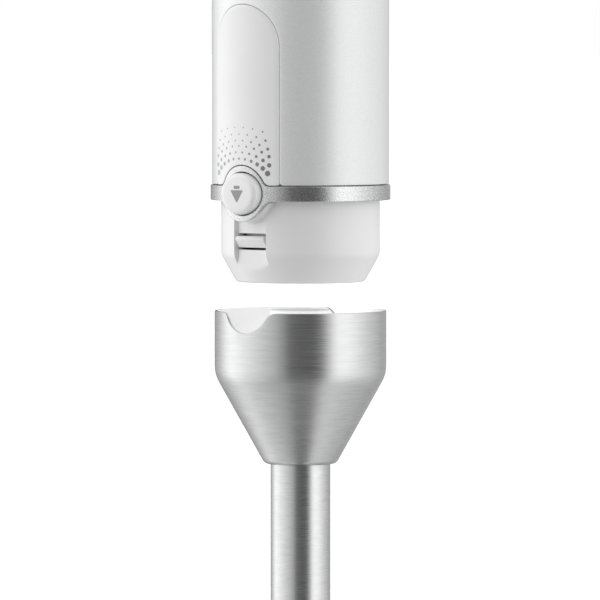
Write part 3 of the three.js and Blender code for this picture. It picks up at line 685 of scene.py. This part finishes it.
def neck_relief(r, angle, z):
    """The flat-floored channel for the foot's catch, and the boss behind the band's bulge."""
    near = to_front(angle)
    x = np.abs(r * np.sin(near))
    floor = np.minimum(r, CHANNEL_FLOOR / np.cos(near))
    down = np.clip((CHANNEL_HALF + 0.15 - x) / 0.3, 0, 1) * np.clip((CHANNEL_TOP - z) / 0.3, 0, 1)
    down = down * down * (3 - 2 * down) * (np.abs(near) < 0.5)
    r = r + (floor - r) * down
    away = np.clip((disc(x, z, 9.3) + 0.2) / 1.8, 0, 1)
    proud = np.where((z < BUTTON_Z - BAND_HALF - 0.25) & (np.abs(near) < 0.6), (1 - away) ** 2.4, 0)
    return r + (30 - r) * proud


def neck_side(x, z, angle):
    up = np.abs(z - sum(WINDOW) / 2) - (WINDOW[1] - WINDOW[0]) / 2 + 0.3
    return -np.minimum(corner(np.abs(x) - 6.4, up, 0.3), button_hole(x, z))


def cavity(z):
    deep = np.interp(z, [-104.5, -98], [-100, -98]) if z < -98 else z
    return (float(np.interp(z, [-86, -84], [23.4, 26])), float(deep))


neck_outline = rounded([(CONE_R, CONE_Z), (NECK_R, -99.1, 5.5), (NECK_R, -79.9)], step=0.05)
neck_outline += [(28.2, -79.8), (28.2, SPIGOT_TOP)]
neck_rows = refined([(r, z, *cavity(z)) for r, z in neck_outline], lambda z: 0.32 if -98 < z < -68 else 0.8)
neck_rows = [(r, z, *cavity(z)) for r, z, _, _ in neck_rows]
neck_angles = all_round((0, 13.9, 0.6), (13.9, 16.1, 0.15), (16.1, 27, 0.6), (27, 153, 3), (153, 163.9, 0.6),
                        (163.9, 166.1, 0.15), (166.1, 180, 0.6))
neck_wall = wrapped(neck_angles, neck_rows, neck_side, 0.25, 0.22, relief=neck_relief, sealed=(False, True),
                    straight_from=-98.8)
neck_tip = rounded([(23.4, -100), (19.6, -106.3), (13.3, -106.3), (13.3, -75), (5, -75), (5, -77), (11.3, -77),
                    (11.3, NECK_LOW, 0.4), (22.5, NECK_LOW, 1.6), (CONE_R, CONE_Z)])
piece("Neck", combined(neck_wall, turned(neck_tip, angles=neck_angles, closed=False)), white, "motor_unit",
      "neck_adapter", "neck_adapter")


# Release buttons and latches

SIGN_LIFT = 0.05  # of the printed sign, over the button's face


def button_face(r):
    """How far forward the slightly domed face reaches, at a distance from its centre."""
    return BUTTON_FACE - 0.35 * (r / BUTTON_R) ** 2


def release_button():
    """A domed cap with a broad soft edge, facing the front."""
    edge = 1.9
    crown = [(r, button_face(r)) for r in np.linspace(BUTTON_R - edge, 0.6, 7)]
    brink = button_face(BUTTON_R - edge)
    shoulder = [(BUTTON_R - edge + edge * math.cos(a), brink - edge * 0.85 * (1 - math.sin(a)))
                for a in np.radians(np.arange(0, 90, 9))]
    outline = [(0, 21.8), (BUTTON_R, 21.8)] + shoulder + crown + [(0, BUTTON_FACE)]
    cap = moved(turned(outline, 72), TO_FRONT)
    return moved(cap, Matrix.Translation((BUTTON_OFF, 0, BUTTON_Z)) @ Matrix.Diagonal((BUTTON_WIDE, 1, 1, 1)))


def eject_sign():
    """A bar over a triangle that points down, printed on the button."""
    def flat_box(x, z, half_x, half_z, radius):
        return corner(np.abs(x) - half_x + radius, np.abs(z) - half_z + radius, radius)

    def triangle(x, z, half, height, radius):
        lean = math.atan2(half, height)
        inset = radius * (1 + 1 / math.sin(lean))
        side = np.abs(x) * math.cos(lean) + (z + height - inset) * -math.sin(lean)
        return corner(side, z + radius, radius)

    def sign(x, z):
        up = z - BUTTON_Z
        across = x - BUTTON_OFF
        bar = flat_box(across, up - 2.3, 1.35, 0.55, 0.35)
        return np.minimum(bar, triangle(across, up - 1.3, 3.15, 4.8, 0.35))

    def place(x, z, sink):
        return x, -button_face(np.hypot(x - BUTTON_OFF, z - BUTTON_Z)) - SIGN_LIFT + sink, z

    def under(x, z):
        return place(x, z, 2 * SIGN_LIFT)

    xs, zs = spans((-3.6, 4.4, 0.09)), spans((BUTTON_Z - 4.4, BUTTON_Z + 3.8, 0.09))
    return shell(xs, zs, sign, place, under, 0.06, 0.02, turns=2)


def prism(side, half, softness=0.0):
    """A side outline (reach forward, z) drawn out across x, with its edges softened."""
    n = len(side)
    points = [(x, -y, z) for x in (-half, half) for y, z in side]
    faces = [list(range(n)), list(range(2 * n - 1, n - 1, -1))]
    faces += [[(i + 1) % n, i, n + i, n + (i + 1) % n] for i in range(n)]
    draft = bmesh.new()
    made = [draft.verts.new(p) for p in points]
    for face in faces:
        draft.faces.new([made[v] for v in face])
    bmesh.ops.recalc_face_normals(draft, faces=draft.faces)
    if softness:
        bmesh.ops.bevel(draft, geom=draft.edges[:], offset=softness, segments=2, affect="EDGES", profile=0.6)
    draft.verts.ensure_lookup_table()
    result = [tuple(v.co) for v in draft.verts], [[v.index for v in f.verts] for f in draft.faces]
    draft.free()
    return result


def latch():
    side = [(19, -96.2), (25.4, -96.2), (27.3, -93.3), (27.3, -92.95), (26.5, -92.2), (21.5, -92.2),
            (21.5, -71), (19, -71)]
    return prism(side, 6.4, 0.12)


for side, turn in (("front", Matrix.Identity(4)), ("rear", HALF_TURN)):
    body = f"release_{side}"
    piece(f"Release_button_{side}", moved(release_button(), turn), white, body, "release_button",
          f"release_button_{side}")
    piece(f"Release_sign_{side}", moved(eject_sign(), turn), ink, body, "release_button")
    piece(f"Release_latch_{side}", moved(latch(), turn), white, body, "release_latch", f"release_latch_{side}")


# Foot's collar and socket

NOTCH_Z = RIM + FIT + BAND_HALF  # where the button's centre comes, above the rim
WALL_FOOT = RIM - 8.2  # below this the liner has no cuts


def notch(x, z, radius, rim):
    """Negative where the rim is cut away round the release button."""
    return joined(disc(x, z, radius, NOTCH_Z), rim - z, 2.4)


def collar_side(x, z, angle):
    return -notch(x, z, BULGE + FIT, RIM)


collar_outline = rounded([(10.8, COLLAR_LOW), (12.55, COLLAR_LOW, 2.6), (COLLAR_R, RIM - 22.4, 12),
                          (COLLAR_R, RIM + 0.8)], step=0.09)
collar_rows = refined(walled(collar_outline, 0.7), lambda z: 0.33 if z > RIM - 8.5 else 1.6)
collar_angles = all_round((0, 26, 0.6), (26, 154, 2.4), (154, 180, 0.6))
piece("Funnel_collar", wrapped(collar_angles, collar_rows, collar_side, 0.2, 0.2), steel, "foot",
      "funnel_collar", "funnel_collar")


def liner_side(x, z, angle):
    return -notch(x, z, BULGE + 0.5, RIM + 0.1)


liner_rows = straight_rows(spans((WALL_FOOT, RIM + 0.9, 0.35)), 29.1, 28.2)
liner_wall = wrapped(collar_angles, liner_rows, liner_side, 0.25, 0.2, sealed=(False, True))
deep = RIM + 80.3  # the drawn heights below are the docked ones
liner_rest = rounded([(28.2, WALL_FOOT), (28.2, deep - 98.8, 2), (23.1, deep - 109.3, 0.6),
                      (10.7, deep - 109.3, 0.8), (10.7, TOWER_TOP, 0.7), (4.3, TOWER_TOP, 0.5),
                      (4.3, TOWER_TOP - 2.2),
                      (8.2, TOWER_TOP - 2.2), (8.2, LINER_LOW), (12.2, LINER_LOW), (12.2, deep - 110.5),
                      (24.1, deep - 110.5), (29.1, deep - 101.6, 6), (29.1, WALL_FOOT)])
catch = prism([(25.75, deep - 91.9), (28.6, deep - 91.9), (28.6, deep - 90.1), (25.75, deep - 90.1)], 6.4, 0.2)
liner_rest = turned(liner_rest, angles=collar_angles, closed=False)
liner = combined(liner_wall, liner_rest, catch, moved(catch, HALF_TURN))
piece("Socket_liner", liner, painted_glow_white, "foot", "socket_liner", "socket_liner")


# Shaft and guard

TUBE_WALL = 0.8
tube = rounded([(TUBE_R - TUBE_WALL, TUBE_LOW), (TUBE_R, TUBE_LOW, 0.2), (TUBE_R, TUBE_TOP, 0.2),
                (TUBE_R - TUBE_WALL, TUBE_TOP)])
piece("Shaft_tube", turned(tube, 96), steel, "foot", "shaft_tube", "shaft_tube")


def guard_side(x, z, angle):
    quarter = angle % (math.pi / 2) - math.pi / 4
    arch = np.hypot(quarter * GUARD_R, z - GUARD_LOW - 3) - 9
    return -joined(arch, z - GUARD_LOW, 2.0)


guard_outline = rounded([(GUARD_R, GUARD_LOW - 0.8), (GUARD_R, GUARD_LOW + 6, 10),
                         (GUARD_R - 8, GUARD_TOP - 17, 14), (TUBE_R + 0.3, GUARD_TOP - 4, 4),
                         (TUBE_R + 0.3, GUARD_TOP)], step=0.1)
guard_rows = refined(walled(guard_outline, 1.2), lambda z: 0.45 if z < GUARD_LOW + 13 else 1.6)
guard_angles = np.radians(spans((-180, 178.8, 1.2)))
SEAT_LOW, SEAT_TOP = GUARD_TOP - 12, GUARD_TOP - 1
bush_seat = turned([(7.3, SEAT_LOW), (10.1, SEAT_LOW), (10.1, SEAT_TOP), (7.3, SEAT_TOP)], 64)
guard_shell = wrapped(guard_angles, guard_rows, guard_side, 0.35, 0.3)
piece("Bell_guard", combined(guard_shell, bush_seat), guard_steel, "foot", "bell_guard", "bell_guard")


# What repeats: trees with named inputs, applied to plain meshes

def node_tree(name, inputs):
    """A geometry tree with its named inputs; gives the tree and the sockets inside it."""
    tree = bpy.data.node_groups.new(name, "GeometryNodeTree")
    tree.interface.new_socket("Geometry", in_out="INPUT", socket_type="NodeSocketGeometry")
    for label, (kind, value) in inputs.items():
        tree.interface.new_socket(label, in_out="INPUT", socket_type=kind).default_value = value
    tree.interface.new_socket("Geometry", in_out="OUTPUT", socket_type="NodeSocketGeometry")
    return tree, tree.nodes.new("NodeGroupInput").outputs, tree.nodes.new("NodeGroupOutput").inputs[0]


def ended(tree, geometry, out, look):
    """The tree's end: instances made real, with their finish set."""
    real = add(tree, "GeometryNodeRealizeInstances", {"Geometry": geometry}).outputs[0]
    painted = add(tree, "GeometryNodeSetMaterial", {"Geometry": real, "Material": look}).outputs[0]
    tree.links.new(painted, out)


def settled(host, *tools):
    """The mesh that an object's modifiers leave; the object and its tools are then removed."""
    result = bpy.data.meshes.new_from_object(host.evaluated_get(bpy.context.evaluated_depsgraph_get()))
    host.modifiers.clear()
    for spent in (host, *tools):
        bpy.data.objects.remove(spent)
    return result


def grown(base, tree, **values):
    """A new mesh: the base mesh as the tree turns it out with these inputs."""
    host = placed("Draft", base)
    modifier = host.modifiers.new("Tree", "NODES")
    modifier.node_group = tree
    for item in tree.interface.items_tree:
        if item.item_type == "SOCKET" and item.in_out == "INPUT" and item.name in values:
            modifier[item.identifier] = values[item.name]
    return settled(host)


DOT_ROWS = [(12.2, 36, 11, 1.08), (14.4, 44, 10, 0.95), (16.6, 51.6, 9, 0.85), (18.5, 57.6, 8, 0.78),
            (20.7, 63.6, 7, 0.7), (23.1, 69, 6, 0.6)]  # radius, first angle, dots, share of full size
ARC_WIDTH = 1.18  # the arcs are this much wider than high
ARC_SHIFT = -1.0  # and lie this far to the side of the button
SMALL_DOT, DOT_GROWTH = 0.75, 1.45  # width of a dot at the top of an arc, and what it gains at the ends
DOT_THICK = 0.00006  # metres


def dot_tree(look):
    """A thin disc on each point, turned to its 'facing' and as wide as its 'size'."""
    tree, given, out = node_tree("Printed dots", {"Sides": ("NodeSocketInt", 16),
                                                  "Thickness": ("NodeSocketFloat", DOT_THICK)})
    disc_mesh = add(tree, "GeometryNodeMeshCylinder", {"Vertices": given["Sides"], "Radius": 0.5,
                                                       "Depth": given["Thickness"]}).outputs["Mesh"]
    size = add(tree, "GeometryNodeInputNamedAttribute", {"Name": "size"}, data_type="FLOAT").outputs[0]
    facing = add(tree, "GeometryNodeInputNamedAttribute", {"Name": "facing"}, data_type="FLOAT_VECTOR").outputs[0]
    turn = add(tree, "FunctionNodeAlignRotationToVector", {"Vector": facing}, axis="Z").outputs[0]
    scale = add(tree, "ShaderNodeCombineXYZ", {"X": size, "Y": size, "Z": 1.0}).outputs[0]
    spread = add(tree, "GeometryNodeInstanceOnPoints", {"Points": given["Geometry"], "Instance": disc_mesh,
                                                        "Rotation": turn, "Scale": scale}).outputs[0]
    ended(tree, spread, out, look)
    return tree


def rib_tree(look):
    """Upright ribs round an edge, added to the base mesh."""
    tree, given, out = node_tree("Ribs round an edge", {
        "Count": ("NodeSocketInt", 24), "Radius": ("NodeSocketFloat", 0.01), "Rib": ("NodeSocketFloat", 0.001),
        "Height": ("NodeSocketFloat", 0.005), "Centre": ("NodeSocketVector", (0, 0, 0))})
    ring = add(tree, "GeometryNodeMeshCircle", {"Vertices": given["Count"], "Radius": given["Radius"]}).outputs[0]
    moved_ring = add(tree, "GeometryNodeTransform", {"Geometry": ring, "Translation": given["Centre"]}).outputs[0]
    rib = add(tree, "GeometryNodeMeshCylinder", {"Vertices": 10, "Radius": given["Rib"],
                                                 "Depth": given["Height"]}).outputs["Mesh"]
    spread = add(tree, "GeometryNodeInstanceOnPoints", {"Points": moved_ring, "Instance": rib}).outputs[0]
    both = tree.nodes.new("GeometryNodeJoinGeometry")
    tree.links.new(spread, both.inputs[0])
    tree.links.new(given["Geometry"], both.inputs[0])
    ended(tree, both.outputs[0], out, look)
    return tree


def dot_points():
    """Staggered arcs of points over the front button, with the size and the facing of each dot."""
    places, sizes, facings = [], [], []
    for radius, first, count, share in DOT_ROWS:
        for angle in np.radians(np.linspace(first, 180 - first, count)):
            turn = (ARC_WIDTH * radius * math.cos(angle) + ARC_SHIFT) / SLEEVE_R
            facing = (math.sin(turn), -math.cos(turn), 0.0)
            lift = (PANEL_R + 0.005) / 1000
            places.append((facing[0] * lift, facing[1] * lift, (BUTTON_Z + radius * math.sin(angle)) / 1000))
            facings += facing
            sizes.append((SMALL_DOT + DOT_GROWTH * abs(math.cos(angle)) ** 1.5) * share / 1000)
    mesh = bpy.data.meshes.new("Dot points")
    mesh.from_pydata(places, [], [])
    mesh.attributes.new("size", "FLOAT", "POINT").data.foreach_set("value", sizes)
    mesh.attributes.new("facing", "FLOAT_VECTOR", "POINT").data.foreach_set("vector", facings)
    return mesh


def dot_ink():
    """Grey ink, darker to the right."""
    made, tree, shader = finish("dot ink")
    place = add(tree, "ShaderNodeTexCoord").outputs["Object"]
    across = add(tree, "ShaderNodeSeparateXYZ", {"Vector": place}).outputs["X"]
    share = add(tree, "ShaderNodeMapRange", {"Value": across, "From Min": -0.011, "From Max": 0.009}).outputs[0]
    feed(tree, shader.inputs["Base Color"], mix_color(tree, share, (0.50, 0.50, 0.50), (0.22, 0.22, 0.22)))
    effects = effect(tree, GRAIN, Grain=5000, Drift=200)
    feed(tree, shader.inputs["Roughness"], span(tree, effects["Tone"], 0.4, 0.5))
    return made


dots = dot_ink()
dressed("Panel_dots", grown(dot_points(), dot_tree(dots), Sides=18, Thickness=DOT_THICK), dots, "motor_unit",
        "front_panel")


# Top of the motor unit

DIAL_Y = -6.0
INLET_Y = 18.5
KNOB_R = 12.3
SPINDLE_R = 3.0
CAP_WALL = 4.0
KEY_FACE = 33.0  # how far forward the keys reach


def cut_by(mesh_data, *cutters):
    """A closed mesh with others cut out of it."""
    host = placed("Draft", made_mesh("Draft", mesh_data))
    tools = [placed("Cutter", made_mesh("Cutter", cutter)) for cutter in cutters]
    for tool in tools:
        cut = host.modifiers.new("Cut", "BOOLEAN")
        cut.object, cut.operation, cut.solver = tool, "DIFFERENCE", "EXACT"
    return settled(host, *tools)


def shifted(mesh_data, x=0.0, y=0.0, z=0.0):
    return moved(mesh_data, Matrix.Translation((x, y, z)))


def plug(radius, low, high, sides, y, soft=0):
    """A round cutter for the cap, with its lower edge rounded where soft asks."""
    foot = (radius, low, soft) if soft else (radius, low)
    return shifted(turned(rounded([(0, low), foot, (radius, high), (0, high)]), sides), y=y)


cap = turned(rounded([(26.3, CAP_LOW), (28.5, CAP_LOW), (28.5, SLEEVE_TOP + FIT), (CAP_R, SLEEVE_TOP + FIT, 0.3),
                      (CAP_R, CAP_TOP, 5.5), (0, CAP_TOP), (0, CAP_TOP - CAP_WALL),
                      (26.3, CAP_TOP - CAP_WALL, 3)], step=0.1), 128)
dish = plug(14, CAP_TOP - 1.6, CAP_TOP + 1, 72, DIAL_Y, soft=0.8)
spindle_hole = plug(SPINDLE_R + 0.5, CAP_TOP - 10, CAP_TOP, 32, DIAL_Y)
inlet_hole = plug(4.5, CAP_TOP - 10, CAP_TOP + 1, 48, INLET_Y)
dressed("Top_cap", cut_by(cap, dish, spindle_hole, inlet_hole), white, "motor_unit", "top_cap", "top_cap",
        sharp=30)

inlet = turned(rounded([(3.2, CAP_TOP - 7), (4.2, CAP_TOP - 7), (4.2, CAP_TOP + FIT), (6, CAP_TOP + FIT),
                        (6, CAP_TOP + 1.4, 0.3), (5.3, CAP_TOP + 1.5), (5.3, CAP_TOP + 3, 1.1),
                        (3.2, CAP_TOP + 3, 0.5)]), 48)
piece("Cord_inlet", shifted(inlet, y=INLET_Y), rubber, "motor_unit", "cord_inlet", "cord_inlet")

ribs = rib_tree(soft_grey)
knob_low = CAP_TOP - 1.3
knob = turned(rounded([(0, knob_low), (KNOB_R, knob_low), (KNOB_R, DIAL_TOP, 1.6), (9.6, DIAL_TOP, 0.5),
                       (8.2, DIAL_TOP - 0.8, 0.6), (0, DIAL_TOP - 0.8)]), 96)
spindle = turned([(0, DIAL_LOW), (SPINDLE_R, DIAL_LOW), (SPINDLE_R, knob_low + 0.5), (0, knob_low + 0.5)], 32)
pointer = prism([(-9.2, DIAL_TOP - 0.85), (-1.5, DIAL_TOP - 0.85), (-1.5, DIAL_TOP - 0.35),
                 (-9.2, DIAL_TOP - 0.35)], 0.7, 0.15)
knob = shifted(combined(knob, spindle, moved(pointer, HALF_TURN)), y=DIAL_Y)
dressed("Speed_dial", grown(made_mesh("Knob", knob), ribs, Count=36, Radius=0.0123, Rib=0.0006, Height=0.0044,
                            Centre=(0, DIAL_Y / 1000, (knob_low + 3.1) / 1000)),
        soft_grey, "dial", "speed_dial", "speed_dial")


def push_button(z, radius):
    """A round key with a shallow dish and a soft edge."""
    outline = rounded([(0, 26.2), (radius + 1, 26.2), (radius + 1, 27.3), (radius, 27.3), (radius, KEY_FACE, 0.9),
                       (radius - 1.5, KEY_FACE - 0.05, 1.0), (radius * 0.5, KEY_FACE - 0.45), (0, KEY_FACE - 0.5)])
    return shifted(moved(turned(outline, 64), TO_FRONT), z=z)


def ring_mark(z, radius):
    """A printed ring round the middle of a key, just proud of its dish."""
    low, high = KEY_FACE - 0.7, KEY_FACE - 0.46
    band = turned([(radius - 0.45, low), (radius, low), (radius, high), (radius - 0.45, high)], 48)
    return shifted(moved(band, TO_FRONT), z=z)


piece("Power_button", push_button(POWER_Z, POWER_R), white, "power_key", "power_button", "power_button")
piece("Power_ring", ring_mark(POWER_Z, 2.4), ink, "power_key", "power_button")
piece("Turbo_button", push_button(TURBO_Z, TURBO_R), soft_grey, "turbo_key", "turbo_button", "turbo_button")
piece("Turbo_ring", combined(ring_mark(TURBO_Z, 1.9), ring_mark(TURBO_Z, 1.0)), white, "turbo_key",
      "turbo_button")


# Blade

BLADE_Z = (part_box("blade")[0].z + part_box("blade")[1].z) * 500
WING = [(0, -4.5), (9, -4.2), (18, -3.4), (22.6, -0.6), (24, 1), (22, 2.6), (12, 4.2), (0, 4.5)]


def wing(tilt, turn):
    """One wing, ground to an edge along both sides."""
    core = [(x * 0.97 if x > 1 else x, y * 0.62) for x, y in WING]
    layers = [(core, 0.7), (WING, 0.12), (WING, -0.12), (core, -0.7)]
    n = len(WING)
    points = [(x, y, z) for outline, z in layers for x, y in outline]
    faces = [list(range(n)), list(range(4 * n - 1, 3 * n - 1, -1))]
    for layer in range(3):
        for i in range(n):
            k = (i + 1) % n
            faces.append([layer * n + k, layer * n + i, (layer + 1) * n + i, (layer + 1) * n + k])
    place = Matrix.Rotation(math.radians(turn), 4, "Z") @ Matrix.Rotation(math.radians(tilt), 4, "Y")
    return moved((points, faces), place)


hub = turned(rounded([(3.3, -1.4), (5.5, -1.4, 0.3), (5.5, 1.4, 0.3), (3.3, 1.4)]), 48)
piece("Blade", shifted(combined(hub, wing(-8, 0), wing(8, 180)), z=BLADE_Z), edge_steel, "cutter", "blade",
      "blade")
nut_side = [(0, -6), (3.6, -6), (4.5, -5.2), (4.5, -1.8), (0, -1.8)]
piece("Blade_nut", shifted(turned(nut_side, 6), z=BLADE_Z), bright_steel, "cutter", "blade", "blade_nut",
      sharp=25)


# Finishes for the CAD pieces that keep their shape

KEPT = {
    housing_grey: "chassis",
    brass: "brush_holder_left brush_holder_right",
    black: "potentiometer power_switch turbo_switch terminal_block cooling_fan drive_coupler driven_coupler",
    bright_steel: "motor_shaft drive_shaft upper_bearing lower_bearing shelf_screw_left shelf_screw_right "
                  "motor_bolt_front motor_bolt_rear",
    edge_steel: "power_spring turbo_spring release_spring_front release_spring_rear",
    cast: "upper_end_plate lower_end_plate",
    rubber: "upper_damper lower_damper shaft_seal",
    laminations: "stator_core armature_core",
    copper: "armature_winding field_coil_left field_coil_right",
    bars: "commutator",
    bronze: "upper_bush lower_bush",
    carbon: "carbon_brush_left carbon_brush_right",
    board: "control_board",
    film: "capacitor",
}
for look, names in KEPT.items():
    for name in names.split():
        mesh = frame["nodes"][name].data
        mesh.materials.clear()
        mesh.materials.append(look)


# Camera, floor and light

CAMERA_TURN = math.radians(40.9)
CAMERA_DIP = math.radians(2.386)
CAMERA_FAR, CAMERA_Z = 2.52, -0.0102  # metres from the axis, and height
CAMERA_TRIM = 0.5 / 7200  # radians; sets the axis half a step to one side
FLOOR_HALF, FLOOR_GAP = 30.0, 0.0005  # metres
LAMP_FAR, LAMP_Z, LAMP_SIZE = 3, 0.6, 2.2  # metres
ROOM_LIGHT = 1.75
LOW_SHARE = 0.55  # how much of the walls' glow stays where they near the floor
LOW_GLOW = (0.22, 0.22, 0.22)
# The room: a softbox on the left and one on the right, each fading away behind, with a dark gap between them.
# Bearing in degrees from the camera, to the right, and brightness.
WALLS = [(-180, 0.1), (-140, 0.4), (-110, 0.95), (-70, 0.65), (-30, 0.35), (-15, 0.1), (20, 0.07), (30, 0.15),
         (50, 0.9), (70, 0.85), (100, 0.55), (140, 0.3)]


def straight_camera():
    """A long lens from the front right, looking a little down at the gap."""
    data = bpy.data.cameras.new("Camera")
    data.lens, data.sensor_width = 432, 36
    data.clip_start, data.clip_end = 0.1, 100
    camera = placed("Camera", data)
    camera.location = (CAMERA_FAR * math.sin(CAMERA_TURN), -CAMERA_FAR * math.cos(CAMERA_TURN), CAMERA_Z)
    camera.rotation_euler = (math.pi / 2 - CAMERA_DIP, 0, CAMERA_TURN + CAMERA_TRIM)
    bpy.context.scene.camera = camera


def studio():
    """The room: its walls glow by bearing, and the camera sees plain white behind the object."""
    world = bpy.data.worlds.new("Studio")
    bpy.context.scene.world = world
    world.use_nodes = True
    tree = world.node_tree
    tree.nodes.clear()
    way = add(tree, "ShaderNodeTexCoord").outputs["Generated"]
    turned_way = add(tree, "ShaderNodeVectorRotate", {"Vector": way, "Angle": -CAMERA_TURN},
                     rotation_type="Z_AXIS")
    parts = add(tree, "ShaderNodeSeparateXYZ", {"Vector": turned_way.outputs[0]}).outputs
    facing = math_node(tree, "MULTIPLY", parts["Y"], -1.0)
    bearing = math_node(tree, "ARCTAN2", parts["X"], facing)
    share = math_node(tree, "MULTIPLY_ADD", bearing, 1 / math.tau, 0.5)
    ramp = tree.nodes.new("ShaderNodeValToRGB")
    stops = ramp.color_ramp.elements
    while len(stops) > 1:
        stops.remove(stops[-1])
    stops[0].position = 0
    for degrees, _ in WALLS[1:]:
        stops.new(degrees / 360 + 0.5)
    for stop, (degrees, glow) in zip(stops, WALLS):
        stop.color = (glow, glow, glow, 1)
    feed(tree, ramp.inputs[0], share)
    low = add(tree, "ShaderNodeMapRange", {"Value": parts["Z"], "From Min": -0.75, "From Max": -0.3}).outputs[0]
    lifted = mix_color(tree, LOW_SHARE, ramp.outputs[0], LOW_GLOW)
    glow = mix_color(tree, low, lifted, ramp.outputs[0])
    seen = add(tree, "ShaderNodeLightPath").outputs["Is Camera Ray"]
    backing = add(tree, "ShaderNodeBackground", {"Color": (1, 1, 1, 1), "Strength": 1.0})
    room = add(tree, "ShaderNodeBackground", {"Color": glow, "Strength": ROOM_LIGHT})
    both = add(tree, "ShaderNodeMixShader", {0: seen, 1: room.outputs[0], 2: backing.outputs[0]})
    out = tree.nodes.new("ShaderNodeOutputWorld")
    tree.links.new(both.outputs[0], out.inputs["Surface"])


def floor():
    """A pale floor just under the guard, which lights nothing and shows in no gloss."""
    draft = bmesh.new()
    bmesh.ops.create_grid(draft, x_segments=4, y_segments=4, size=FLOOR_HALF)
    bmesh.ops.translate(draft, verts=draft.verts, vec=(0, 0, GUARD_LOW / 1000 - FLOOR_GAP))
    mesh = bpy.data.meshes.new("Floor")
    draft.to_mesh(mesh)
    draft.free()
    mesh.materials.append(plastic("pale floor", (0.92, 0.92, 0.92), 0.8, grain=40, depth=1e-5, drift=3,
                                  spread=0.01, Emission_Color=(1, 1, 1, 1), Emission_Strength=0.45))
    made = placed("Floor", mesh)
    made.visible_diffuse = made.visible_glossy = False


def soft_light(name, bearing, power):
    """A broad lamp at a bearing from the camera, in degrees, that fills shadows without showing in gloss."""
    data = bpy.data.lights.new(name, "AREA")
    data.shape, data.size, data.energy = "SQUARE", LAMP_SIZE, power
    lamp = placed(name, data)
    turn = CAMERA_TURN + math.radians(bearing)
    lamp.location = (LAMP_FAR * math.sin(turn), -LAMP_FAR * math.cos(turn), LAMP_Z)
    lamp.rotation_mode = "QUATERNION"
    lamp.rotation_quaternion = (lamp.location - Vector((0, 0, -0.1))).to_track_quat("Z", "Y")
    lamp.visible_glossy = lamp.visible_camera = False


straight_camera()
studio()
soft_light("Left_fill", -66, 22)
soft_light("Right_fill", 72, 13)
floor()
bpy.context.scene.view_settings.view_transform = "Standard"
